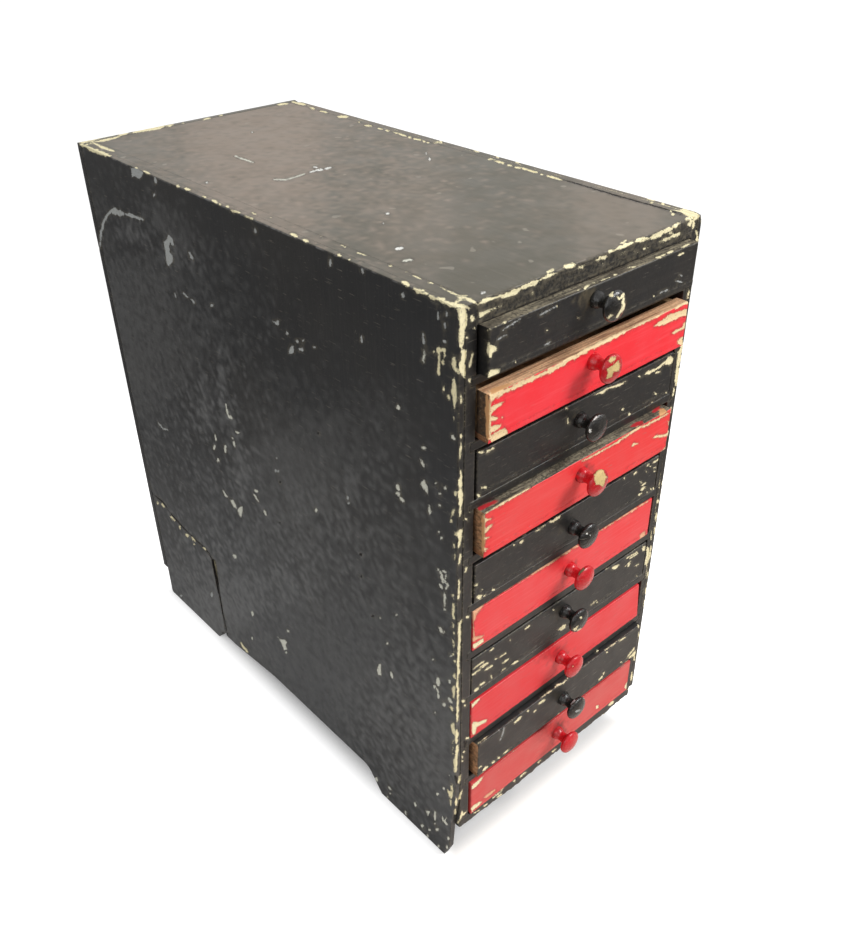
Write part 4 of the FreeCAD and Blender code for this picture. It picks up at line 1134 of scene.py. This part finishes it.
DRAWER_3_CREAM = (
    (1.0, 478, 452.3, 484, 452), (1.2, 487, 452, 493, 448), (0.9, 566, 408.5, 567, 408.3),
    (0.8, 568, 418, 568, 424),
    (0, 594, 395.5, 602, 390.5, 610, 387, 618, 384, 626, 381.5, 620, 386, 612, 388, 606, 390, 603, 394,
     600, 393.5), (1.2, 639, 376.5, 640, 376.3), (1.7, 645, 374.5, 651, 371.5, 656, 369),
    (1.1, 656, 369, 662, 365, 666, 361),
    (0, 666, 360.5, 668, 357, 671, 356, 674, 359, 672, 363, 669, 365, 665, 364),
    (1.1, 656, 373, 660, 371.5), (1.6, 674, 367, 672, 374.5), (1.7, 655.5, 393, 656, 394.5),
    (1.0, 666, 392.5, 666.5, 393), (0.9, 662, 399, 663, 399.5), (1.1, 622, 409.7, 623, 409),
    (1.2, 629.5, 413.3, 629.5, 416), (0.9, 652, 402.3, 653, 402), (1.2, 484.3, 487.3, 486.7, 488.3),
    (1.0, 481.7, 487, 482.3, 487.3), (1.6, 477.3, 494, 479.5, 497), (1.1, 511, 484.5, 512, 484.2),
    (0.8, 519, 477, 519.5, 476.8),
)
DRAWER_4_CREAM = (
    (0, 484, 516.5, 487, 519, 492, 518, 490, 520, 487, 521, 485, 523.5),
    (0, 484.5, 533, 486, 529, 489, 526, 493, 524, 491, 527, 488, 530, 486, 533),
    (0, 483, 536.3, 486, 537.5, 489.5, 537, 487, 539, 484.5, 540.3),
    (0, 483.5, 547, 485, 548, 489, 548.3, 486, 550, 485.3, 552, 484, 551), (0.9, 484.3, 515, 484.7, 535),
    (1.0, 486, 513, 500, 505, 510, 499, 520, 493.5, 530, 488),
    (1.0, 582, 461.3, 590, 457.5, 600, 452, 610, 446.5),
    (1.3, 610, 446.5, 618, 442, 625, 437, 633, 431.5, 640, 427.3, 647, 425.3, 652, 422, 660, 418,
     668, 413.5), (1.2, 671, 414, 671.5, 417, 670.3, 424, 669.3, 430),
    (1.5, 653, 438, 657, 436.5, 661, 436, 666, 435, 669.5, 432.5),
    (0, 668, 421, 670.5, 422.5, 669.5, 428, 668.5, 424), (1.5, 632, 446.3, 634, 444.6, 637, 443.3),
    (0.9, 667, 441, 667, 445.5, 664.5, 449, 660, 451.5),
)
DRAWER_4_TOP_RED = (
    (0, 476, 508, 486, 503.5, 498, 499, 502, 497, 496, 503, 486, 508, 480, 511),
    (0, 629, 427, 636, 422, 644, 420, 643, 424, 636, 427),
    (0, 651, 412, 656, 407, 661, 405, 659, 410, 654, 413),
)
DRAWER_4_TOP_TAN = (
    (0, 660, 409, 664, 408, 667, 412, 664, 415, 660, 417, 659, 412),
)
DRAWER_5_CREAM = (
    (1.4, 550, 522, 556, 519.5, 560, 516), (0.8, 540, 528, 545, 525), (0.7, 536, 531, 540, 529),
    (1, 520, 543, 523, 540.5), (0.8, 514, 545, 514.5, 545.3), (1.6, 559, 551, 561, 550.3),
    (0, 476.5, 597, 478, 595.5, 482, 594.5, 481, 598, 480, 601.5, 478.5, 600), (1, 483.5, 597, 485.5, 595),
    (1, 476, 604.5, 478.5, 602.5), (1, 475.5, 585.5, 477.5, 584.5), (0.8, 482, 589.5, 482.5, 589.8),
    (1, 492.5, 590.3, 495, 589.3), (0.9, 653, 463, 657, 460.3, 659.5, 457), (0.9, 661.5, 456, 660.3, 459.5),
    (0.8, 647, 466, 649.5, 464), (0.8, 650, 466.5, 651, 466), (0.8, 654, 468, 656, 467),
    (1.2, 654.3, 471, 654.8, 471.5), (0.8, 646, 471.5, 646.5, 471.8), (0.8, 657.7, 470, 657.3, 475.5),
    (0.8, 634, 474.3, 636.5, 472), (0.8, 623.5, 478.3, 624.5, 477.8), (0.7, 656, 483.3, 660, 481.3),
    (0.7, 640, 481.5, 642, 483), (0.8, 642, 485.5, 645.5, 483), (1.3, 641, 490.3, 645.3, 487),
    (1.3, 639, 495.3, 642, 492.7), (1.4, 653.5, 488, 654.7, 490.5, 653.3, 493.7, 650.5, 494.3),
    (1, 650.5, 488.7, 651.3, 489.5), (0.7, 647, 492, 647.5, 492.3), (1.4, 636, 504.3, 637, 503.7),
)
DRAWER_5_DARK = (
    (1.7, 530, 572, 530.4, 572.3), (1.2, 626, 509.7, 626.5, 509.5),
)
DRAWER_6_SALMON = (
    (0, 472, 612, 474, 609, 478, 606, 484, 603, 483, 607, 479, 611, 476, 615, 475, 620, 473, 622, 472, 618),
    (1.1, 480, 605, 500, 593, 520, 581, 535, 572), (1.7, 535, 572, 548, 564, 560, 556.5),
    (1.2, 560, 556.5, 572, 549, 578, 545.5), (1.2, 598, 532, 605, 527.5, 620, 518, 635, 509, 648, 501),
    (0.9, 473, 622, 474, 632, 474, 637),
    (0, 472, 639, 474, 636.5, 478, 636.3, 484, 635, 482, 638, 478, 639, 473, 641.5),
    (0, 640, 535, 642, 533, 645, 531, 645.5, 535, 642, 537.5, 640, 539),
    (1.2, 481, 646, 486, 643, 489, 640.7),
)
DRAWER_6_CREAM = (
    (0, 473, 644.5, 477, 642, 483, 638.3, 484, 641, 480, 644.5, 475, 648.5, 473, 647),
)
DRAWER_7_CREAM = (
    (0.9, 525, 629.3, 530, 625.3), (0.8, 473, 669.3, 478, 665.3, 484, 661.7),
    (0.8, 472, 675.3, 480, 669.3, 488, 663), (1.4, 485, 670.3, 489, 668, 492, 666),
    (0.7, 480, 667.5, 487, 662.7), (0.8, 500, 657.3, 506, 653), (1, 503, 663.3, 506, 660.7, 509, 659),
    (1.3, 512, 664.5, 515, 662.3, 518.5, 661.3), (0.7, 495, 659.5, 497.5, 658),
    (0.8, 490, 650.7, 493.5, 648.3), (0.8, 501, 671.3, 505, 668.3), (1.1, 529.7, 656, 530.3, 657),
    (0.9, 536, 651, 536.5, 651.3), (1, 509.5, 640, 510.3, 640.5), (0.9, 491.3, 675.5, 491.6, 678.3),
    (1, 496, 678.3, 496.8, 678.7), (1, 553, 609.7, 553.8, 610.3),
    (0, 557.5, 630.3, 560, 628, 563, 625, 566, 624.3, 565, 628, 562, 630.3),
    (0.9, 591, 605, 593.5, 602.7, 596.5, 600.3), (1.4, 597, 602.3, 597.5, 602.7),
    (0.7, 599, 607, 599.5, 607.5), (0, 642, 549, 643, 546.3, 646, 546.3, 645, 550.3, 643, 551),
    (1, 627, 558.3, 632, 555, 637, 552.3), (0.7, 630, 558.5, 638, 553.3),
    (0.9, 625, 566.3, 630, 562.3, 631, 560.5), (0.7, 628, 566.3, 630.5, 563), (0.7, 635, 566.3, 638.5, 564),
    (0, 612, 567.5, 615, 565.5, 619, 564.7, 618, 567, 615, 569.3, 612, 569.3),
    (0.9, 636.7, 576, 637.3, 576.5), (0, 631, 583.5, 634, 580.5, 633.5, 584, 631.5, 585),
    (0, 624.7, 588.5, 627, 586, 628, 586.5, 627, 589.3), (1.0, 621.5, 591.7, 626, 589.3),
    (0.9, 639.5, 581, 641.5, 582.5), (0, 474, 690.3, 476, 688, 479, 687.3, 478, 691, 475, 693),
    (1, 480, 685.3, 485, 682), (0, 482, 687, 487, 684, 490, 681.7, 490.3, 684, 486, 687.3, 483, 688.7),
)
DRAWER_8_CREAM = (
    (0, 472, 704, 476, 700.5, 480, 698, 478, 702, 474, 706, 472, 707.5),
    (0, 472, 727, 472, 724, 474, 721.3, 478, 722.3, 482, 720.7, 487, 719.3, 486, 722, 480, 725, 477, 727,
     476, 730, 475.3, 734, 472.5, 735.3), (1.2, 479, 734, 484, 730.7), (1.1, 606.5, 641, 609.3, 638.3),
    (1.2, 618, 631.7, 619, 631.3),
)
DRAWER_9_CREAM = (
    (0.9, 475, 746, 480, 742.3, 489, 736), (0.8, 507, 713, 510.3, 710.7),
    (1.4, 515, 722.5, 518, 719.7, 521.3, 716.3), (1.3, 527.5, 711.3, 528.5, 710.7),
    (0.8, 521, 711.7, 522, 711.3), (1.3, 539, 703.7, 545, 699.5), (0.8, 541.5, 697.3, 546, 694),
    (1.4, 547, 693.5, 552, 690.3), (1.4, 554, 688, 557.5, 685.3, 563, 683), (0.8, 563, 683, 568, 678),
    (1.2, 542.3, 688.5, 545.3, 685.5), (1, 503, 754.3, 509, 749.5), (0.7, 534, 712, 536, 710),
    (1.4, 492, 763, 494, 761.3), (1.1, 494, 766.3, 496.3, 764), (1.1, 498, 758.3, 499.3, 757),
    (1, 558, 714.7, 560, 713.3), (1, 592, 689.3, 594.3, 687.5), (1.2, 599, 680.3, 601.3, 677.7, 602.3, 676),
    (1, 603, 674.5, 604.3, 672), (0, 477.5, 778.5, 481, 774, 484.3, 771, 483, 775, 480, 779.3),
    (1, 479, 768.5, 481.3, 766), (1.3, 483, 770.3, 487.3, 766.5), (1.4, 596.3, 651.7, 598, 650.7),
    (0.7, 605, 650.3, 611, 646, 616, 642.7), (1.3, 606.7, 652, 607.5, 652.3), (0.8, 619, 641.3, 625, 637.3),
    (0, 637, 624.5, 639.3, 625.3, 639.3, 628.5, 638, 627.3),
    (1, 627, 658.3, 629, 655, 632, 651.3, 634.3, 648), (1, 629, 658.3, 633, 654.3, 636.3, 650.3),
    (0, 631.5, 657, 634.5, 652, 636.8, 652, 636, 656.3, 633, 659.5), (1, 625, 663.3, 628.3, 660.3),
    (0.9, 621, 662.3, 622, 661.7),
)
DRAWER_9_GREY = (
    (0.8, 500, 740.3, 503, 733.3, 504.3, 727), (1.5, 499, 730, 499.5, 730.7),
)
DRAWER_10_CREAM = (
    (0, 471.5, 789.3, 472, 786, 475, 783, 480, 779, 483.5, 776, 479.5, 783, 475, 787.5),
    (0, 471, 808.3, 474, 805, 478, 802.7, 482, 801.5, 479, 805.3, 474, 809.3, 472, 812),
    (0, 624.5, 687.5, 626, 683.5, 628.3, 681, 627.5, 686, 625.7, 688.7), (1.8, 596.7, 708, 598, 706),
)
DRAWER_10_SALMON = (
    (0, 484, 797.5, 488, 794, 492, 791, 495, 788.7, 495, 791, 490, 795, 486.5, 797.7),
)
BOTTOM_CREAM = (
    (1.6, 609, 705, 613.5, 701.3), (1.3, 582, 732.3, 584.3, 729.3), (1.1, 493, 797.7, 500, 792.5, 504, 787),
    (1.0, 497, 797.3, 502, 794), (1.8, 513, 782, 515.3, 779.7), (1.0, 483, 806.5, 487, 804),
    (0.9, 520, 777, 526, 772), (0.9, 538, 763, 541, 760), (0.9, 552, 752, 556, 749),
    (1.0, 600, 718, 604, 714), (1.0, 616, 704, 620, 701), (0.9, 474, 813, 480, 810),
)
# Some of these are painted highlights: the thin streak on knob 3, the white spots on knob 5, and the second and
# third marks on knob 9.
KNOB_CHIPS_AND_HIGHLIGHTS = {
    1: ("cream", (
        (0, 608, 293, 613, 291, 613, 296, 610, 297), (1.6, 617, 296, 620, 299, 622, 296, 624, 294),
        (1.6, 624, 298, 623, 302, 624, 305, 622, 309, 620, 312, 617, 317),
        (0, 607, 318, 611, 314, 613, 315.5, 609, 318.5),
    )),
    2: ("old", (
        (0, 608, 360, 612, 357, 616, 356.5, 615, 360, 611, 363),
        (0, 619, 360, 620, 366, 619, 371, 614, 372, 612, 377, 606, 379, 608, 373, 607, 369, 612, 366),
    )),
    3: ("white", (
        (1.2, 590, 429, 590, 433), (0.6, 593, 421, 597, 416.5),
    )),
    4: ("old", (
        (0, 594, 475, 597, 471, 600, 468.5, 603, 470, 605, 474, 607, 477, 605, 480, 604, 484, 603, 487,
         600, 485, 598, 484, 596, 486, 595, 481, 594, 478),
    )),
    5: ("white", (
        (1.3, 586.5, 533.5, 586.8, 533.8), (0.7, 590, 535, 590.3, 535.3),
    )),
    6: ("moss", (
        (0, 578, 575, 580, 571, 584, 568, 585, 569, 582, 572, 579, 575),
    )),
    7: ("cream", (
        (0, 573, 629.3, 576, 627.3, 578, 625.8, 577.3, 629.7, 574.3, 631.3), (1.2, 578.3, 631, 581, 628.3),
        (1.5, 580.8, 617.3, 581.2, 617.7),
    )),
    8: ("salmon", (
        (1.2, 572.8, 666, 573.2, 666.5),
    )),
    9: ("grey", (
        (1.3, 576, 711.7, 580, 710), (0.8, 571, 704, 575, 700), (0.8, 584, 698, 584, 699),
    )),
}
# Dust with painted sheen, which lightens the side and the top: a strength, a width in millimetres and pixels.
SIDE_DUST_AND_SHEEN = (
    (0.3, 330, 190, 560, 260, 640, 400, 720), (0.3, 240, 90, 260, 110, 330, 150, 420),
    (0.34, 170, 195, 590, 215, 640), (0.22, 220, 270, 430, 320, 520), (0.25, 26, 205, 380, 206, 435),
    (0.25, 14, 222, 350, 222, 395, 230, 420, 240, 460, 243, 500), (0.3, 22, 122, 232, 142, 238),
    (0.2, 40, 150, 205, 190, 260), (0.22, 140, 440, 660, 445, 820),
)
# Dust and painted sheen in broad patches on the top.
TOP_DUST_AND_SHEEN = (
    (0.88, 430, 180, 138, 330, 132), (0.48, 250, 570, 200, 670, 205), (0.3, 180, 370, 205, 460, 225),
)

TRACED = (
    ("case", "grey", LEFT_SIDE_GREY), ("case", "pale", LEFT_SIDE_PALE), ("case", "cream", LEFT_SIDE_CREAM),
    ("case", "dark", LEFT_SIDE_DARK), ("case", "cream", LEFT_FRONT_CREAM),
    ("case", "salmon", LEFT_FRONT_SALMON), ("case", "dark", LEFT_FRONT_DARK),
    ("case", "cream", RIGHT_FRONT_CREAM), ("case", "cream", TOP_CREAM), ("case", "cream", SEAM_DASHES),
    ("case", "white", TOP_WHITE), ("case", "pale", TOP_SCRATCHES), ("case", "dark", TOP_SHADOW_LINE_AND_DARK),
    ("case", "cream", TOP_FRONT_CREAM), ("case", "cream", BOTTOM_CREAM),
    ("drawer_1_front", "cream", DRAWER_1_CREAM), ("drawer_1_front", "grey", DRAWER_1_GREY),
    ("drawer_4_front", "tan", DRAWER_4_TAN), ("drawer_2_front", "straw", DRAWER_2_CREAM),
    ("drawer_2_front", "tan", DRAWER_2_TAN), ("drawer_2_front", "red", DRAWER_2_RED),
    ("drawer_3_front", "cream", DRAWER_3_CREAM), ("drawer_4_front", "straw", DRAWER_4_CREAM),
    ("drawer_4_front", "red", DRAWER_4_TOP_RED), ("drawer_4_front", "tan", DRAWER_4_TOP_TAN),
    ("drawer_5_front", "cream", DRAWER_5_CREAM), ("drawer_5_front", "dark", DRAWER_5_DARK),
    ("drawer_6_front", "salmon", DRAWER_6_SALMON), ("drawer_6_front", "cream", DRAWER_6_CREAM),
    ("drawer_7_front", "cream", DRAWER_7_CREAM), ("drawer_8_front", "cream", DRAWER_8_CREAM),
    ("drawer_9_front", "cream", DRAWER_9_CREAM), ("drawer_9_front", "grey", DRAWER_9_GREY),
    ("drawer_10_front", "cream", DRAWER_10_CREAM), ("drawer_10_front", "salmon", DRAWER_10_SALMON),
)

# The marks go on before the boards are made, because the boards have more points there.
for part, tone, rows in TRACED:
    traced(part, tone, rows)
for number, (tone, rows) in KNOB_CHIPS_AND_HIGHLIGHTS.items():
    traced_on_knob(number, tone, rows)
spread_grime_and_painted_light(("left_sheet", "foot_patch"), SIDE_DUST_AND_SHEEN)
spread_grime_and_painted_light(("top_board", "left_lining", "right_lining", "left_sheet", "right_sheet"), TOP_DUST_AND_SHEEN, ON_TOP)
# Grime and painted knob shadows on a front around its knob's neck, and painted shade on the neck itself.
GRIME_AND_KNOB_SHADOWS = {
    1: ((0.9, 24, 583, 291, 590, 302), (0.5, 34, 588, 298, 591, 299)),
    2: ((0.4, 22, 588, 380, 592, 378), (0.5, 10, 592, 362, 594, 366)),
    3: ((0.4, 24, 576, 414, 577, 415),),
    4: ((0.9, 13, 587, 470, 592, 465), (0.5, 30, 581, 471, 582, 472)),
    5: ((0.4, 26, 562, 530, 563, 531),),
    6: ((0.9, 14, 570, 568, 575, 563), (0.5, 32, 562, 573, 563, 573)),
    7: ((0.4, 26, 556, 612, 557, 613),),
    8: ((0.95, 18, 558, 655, 566, 648), (0.6, 38, 549, 656, 552, 655)),
    9: ((0.4, 26, 557, 696, 558, 697),),
    10: ((0.95, 18, 555, 732, 563, 724), (0.5, 34, 548, 737, 550, 736)),
}
# Painted shade on each knob's neck; on these knobs the neck is grimy too, so the shade is wider.
GRIMY_NECKS = (4, 6, 8, 10)
NECK_PLACE = (-2, -5, -3)  # from the knob's middle in x and z, and from its rear in y
CLEAN_SHADE = (0.95, 14, 0, 0, -4, 1)  # strength, width in millimetres, and pixels from that place
GRIMY_SHADE = (1.0, 26, 1, -3, -5, -1)
for number, rows in GRIME_AND_KNOB_SHADOWS.items():
    spread_grime_and_painted_light((f"drawer_{number}_front",), rows)
for number in range(1, COUNT + 1):
    low, high = box_of(f"drawer_{number}_knob")
    neck = (low + high) / 2 + NECK_PLACE
    neck[Y] = high[Y] + NECK_PLACE[Y]
    strength, width, *offsets = GRIMY_SHADE if number in GRIMY_NECKS else CLEAN_SHADE
    shade = (strength, width, *(np.array(offsets) + np.tile(photo_pixels(neck[None])[0], 2)))
    behind = low.copy()
    behind[Y] += KNOB_HEAD
    spread_grime_and_painted_light((f"drawer_{number}_knob",), (shade,), (behind - 1, high + 1))


RAIL_FROM, RAIL_FADE = 44, 4  # the broken edge starts below this height, and is whole so far further down
RAIL_DROP, RAIL_MORE = 1.5, 3.4  # how far it hangs, and how much further to the right
RAIL_EVEN = 50  # where it hangs no further
RAIL_DEEP = 5  # how far behind the front it dies out
RAIL_RISES = ((1.6, 7.0, 8), (0.9, 2.0, 9))  # how high its lumps rise, their width and a seed
RAIL_GRAIN = (1, 0.2, 0.2)  # the lumps are longer along y and z
FRONT_HEIGHTS, FRONT_SET_BACK = (45, 410, 450), (4.5, 3.2, 0.0)  # how far back the sheet's edge stands
FRONT_FILLED = 0.88  # of that
FRONT_FADE_UP, FRONT_FADE_BACK = 25, 12
TOP_FRONT_ROUNDER = 7.0
SEAT_SHARP = 0.2


def ragged_under(points):
    """The bottom rail's broken lower edge, which dies out behind the front."""
    low = np.clip((RAIL_FROM - points[:, Z]) / RAIL_FADE, 0, 1)
    drop = RAIL_DROP + RAIL_MORE * np.clip(points[:, X] / RAIL_EVEN, 0.2, 1)
    rise = sum(high * (noise(points * RAIL_GRAIN, lump, seed) + 1) for high, lump, seed in RAIL_RISES) - drop
    lifted = points.copy()
    lifted[:, Z] += low * rise * np.exp(-np.abs(points[:, Y]) / RAIL_DEEP)
    return lifted


def brought_forward(points):
    """The left sheet's front edge, filled with paint almost to the lining's face above the foot."""
    edge = np.interp(points[:, Z], FRONT_HEIGHTS, FRONT_SET_BACK)
    above = np.clip((points[:, Z] - FRONT_HEIGHTS[0]) / FRONT_FADE_UP, 0, 1)
    moved = points.copy()
    moved[:, Y] -= FRONT_FILLED * edge * above * np.clip(1 - (points[:, Y] - edge) / FRONT_FADE_BACK, 0, 1)
    return moved


def front_eased(loop):
    """The top board's front edge is rounder than the rest."""
    middle = (loop + np.roll(loop, -1, axis=0)) / 2
    return np.where(middle[:, 1] < 1, TOP_FRONT_ROUNDER, 1.0)


def seated(loop):
    """Drawer fronts sit tight on their bottom boards, so that lower edge is sharp."""
    middle = (loop + np.roll(loop, -1, axis=0)) / 2
    return np.where(middle[:, 1] < loop[:, 1].min() + 1, SEAT_SHARP, 1.0)


SHEET_ROWS = np.arange(0.7, 4.2, 0.5)
TOP_ROWS = np.arange(2.2, 12.5, 1.2)
CASE_ROWS = long_rows(420, 22)
LINING_ROWS = long_rows(420, 4)
TOP_PAINT = {"top": ("black_top_dust_and_sheen", 0)}
SHEET = dict(rim=1.6, fine=0.8, far_ease=0.1, rows=SHEET_ROWS, bare=TOP_PAINT)
LINING = dict(fine=0.8, step=1.5, rows=LINING_ROWS, bare=TOP_PAINT)

lay("left_sheet", "left", "black_side", step=4.0, ease=0.4, wear=0.2, reshape=brought_forward, **SHEET)
lay("right_sheet", "right", "black_worn", step=5.0, ease=0.6, wear=0.6, **SHEET)
lay("foot_patch", "left", "black_side", step=4.0, ease=0.4, wear=0.2)
lay("left_lining", "front", "black_front", ease=0.15, **LINING)
lay("right_lining", "front", "black_front", ease=0.3, **LINING)
lay("top_board", "top", "black_rough", step=4.0, rim=1.2, ease=0.25, wear=0.2, ease_by=front_eased,
    rows=TOP_ROWS, bare=TOP_PAINT)
lay("bottom_board", "front", "black_front", rim=1.5, ease=0.8, wear=0.4, rows=CASE_ROWS, reshape=ragged_under)
lay("back_panel", "back", "black_side", step=8.0, far_step=12.0, ease=0.5, wear=0.2, wave=0.5,
    bare={"back": ("back_wood", 0), "top": ("black_top_dust_and_sheen", 0)})
for number in range(1, COUNT):
    lay(f"divider_{number}", "front", "black_front", rim=1.5, ease=0.6, wear=0.3, rows=CASE_ROWS)

# Faces of the drawer fronts that were never painted, or are worn to the wood.
RAW_FACES = {
    1: {"top": ("olive_wood", 0)},
    2: {"top": ("brown_wood_brightened", 0), "left": ("end_dark", 0)},
    4: {"top": ("olive_wood", 0), "left": ("end_wood", 0)},
    9: {"left": ("end_wood", 0)},
}
RAW_ENDS = (2, 4, 9)  # drawers with bare wood at the left end of the bottom board too
RAW_BEHIND = 14  # the other ends are painted this far back, and the bottoms a little less
RAW_UNDER = 9
for number in range(1, COUNT + 1):
    colour = f"red_front_{number}" if number in RED else "black_front"
    part = f"drawer_{number}"
    lay(f"{part}_front", "front", colour, read="back", step=2.0, far_step=8.0, rim=1.2, ease=0.7, wear=0.3,
        ease_by=seated, bare=RAW_FACES.get(number))
    ends = 0 if number in RAW_ENDS else RAW_BEHIND
    raw = {"left": ends, "right": ends, "back": 0, "top": RAW_UNDER, "under": RAW_UNDER}
    raw = {face: ("panel_wood", behind) for face, behind in raw.items()}
    lay(f"{part}_bottom", "front", colour, step=2.0, ease=0.2, wear=0.15, rows=CASE_ROWS, bare=raw)
    for side_name, loop in box_boards(f"{part}_box").items():
        lay(f"{part}_box", "top", "box_wood", name=f"{part}_{side_name}", loop=loop, step=4.0, wear=0.0)
    knob(number)

nails = frame["nodes"]["back_nails"]
nails.data.materials.clear()
nails.data.materials.append(MATERIALS["nail_steel"])

# Metres from here on.
FLOOR_HALF = 6.0
FLOOR_NEAR, FLOOR_FAR = 0.3, 0.75  # the floor is palest this near to the chest, and dim this far away
FLOOR_PALE, FLOOR_DIM = 0.93, 0.25
FLOOR_ROUGH = 0.9
SHADE_MIDDLE, SHADE_HALF = (0.0, 0.0086), (0.1025, 0.2115)  # the rectangle that the case stands over
SHADE_NEAR, SHADE_FAR = -0.016, 0.018  # the glow grows from inside its edge to this far outside
GLOW_INSIDE, GLOW_OUTSIDE = 0.05, 0.9
WHITE, UNLIT = (1, 1, 1, 1), (0, 0, 0, 1)
PAINTED_RED_BOUNCE = (1.0, 0.9, 0.8, 1.0)  # painted red bounce light: the red fronts tint the floor before them
BOUNCE_FROM, BOUNCE_TO = -0.22, -0.18  # all of it in front of this y, and none behind that one
LAMPS = {  # place, size across and power
    "key_lamp": ((0.95, -1.25, 1.5), 0.7, 30.0),
    "fill_lamp": ((-1.6, -0.6, 1.2), 1.4, 6.0),
}
LAMPS_AIM = Vector((0, 0, 0.2))
SKY_LIGHT = 0.5


def light_path(tree):
    """Two shares: 1 for rays from the lens, and 1 also for rays from gloss and through glass.

    Both are 0 for the light that falls on things.
    """
    path = tree.nodes.new("ShaderNodeLightPath")
    shares = [path.outputs[name] for name in ("Is Camera Ray", "Is Glossy Ray", "Is Transmission Ray")]
    total = shares[0]
    for share in shares[1:]:
        most = tree.nodes.new("ShaderNodeMath")
        most.operation = "MAXIMUM"
        tree.links.new(total, most.inputs[0])
        tree.links.new(share, most.inputs[1])
        total = most.outputs[0]
    return shares[0], total


def add_floor():
    """A pale sheet that keeps the shadow. It glows to the lens alone, and less where the case stands.
    Before the case its colour holds painted red bounce light.
    """
    half = FLOOR_HALF
    mesh = bpy.data.meshes.new("floor")
    corners = [(-half, -half, 0), (half, -half, 0), (half, half, 0), (-half, half, 0)]
    mesh.from_pydata(corners, [], [[0, 1, 2, 3]])
    floor = bpy.data.objects.new("floor", mesh)
    g = Graph("floor_white")
    away = g.add("ShaderNodeVectorMath", {0: g.where}, operation="LENGTH").outputs["Value"]
    apart = g.add("ShaderNodeSeparateXYZ", {0: g.where}).outputs
    pale = g.ramp(away, FLOOR_NEAR, FLOOR_FAR, FLOOR_PALE, FLOOR_DIM)
    painted_bounce = g.mix(g.ramp(apart["Y"], BOUNCE_FROM, BOUNCE_TO, 1.0, 0.0), WHITE, PAINTED_RED_BOUNCE)
    gaps = []
    for place, middle, reach in zip(apart, SHADE_MIDDLE, SHADE_HALF):
        gaps.append(g.minus(g.calc("ABSOLUTE", g.minus(place, middle)), reach))
    to_lens, _ = light_path(g.tree)
    shown = g.times(to_lens, g.ramp(g.larger(*gaps), SHADE_NEAR, SHADE_FAR, GLOW_INSIDE, GLOW_OUTSIDE))
    mesh.materials.append(g.set(Base_Color=g.mix(pale, UNLIT, painted_bounce), Roughness=FLOOR_ROUGH,
                                Emission_Color=WHITE, Emission_Strength=shown))
    bpy.context.scene.collection.objects.link(floor)


def add_sky():
    world = bpy.data.worlds.new("soft_sky")
    bpy.context.scene.world = world
    world.use_nodes = True
    background = world.node_tree.nodes["Background"]
    background.inputs["Color"].default_value = WHITE
    _, direct = light_path(world.node_tree)
    strength = world.node_tree.nodes.new("ShaderNodeMapRange")
    strength.inputs["To Min"].default_value = SKY_LIGHT
    strength.inputs["To Max"].default_value = 1.0
    world.node_tree.links.new(direct, strength.inputs["Value"])
    world.node_tree.links.new(strength.outputs[0], background.inputs["Strength"])


def add_lamps():
    for name, (place, size, power) in LAMPS.items():
        lamp = bpy.data.lights.new(name, "AREA")
        lamp.shape = "DISK"
        lamp.size = size
        lamp.energy = power
        item = bpy.data.objects.new(name, lamp)
        item.location = place
        item.rotation_euler = (LAMPS_AIM - item.location).to_track_quat("-Z", "Y").to_euler()
        bpy.context.scene.collection.objects.link(item)


add_floor()
add_sky()
add_lamps()
add_camera()
bpy.context.scene.view_settings.view_transform = "Standard"
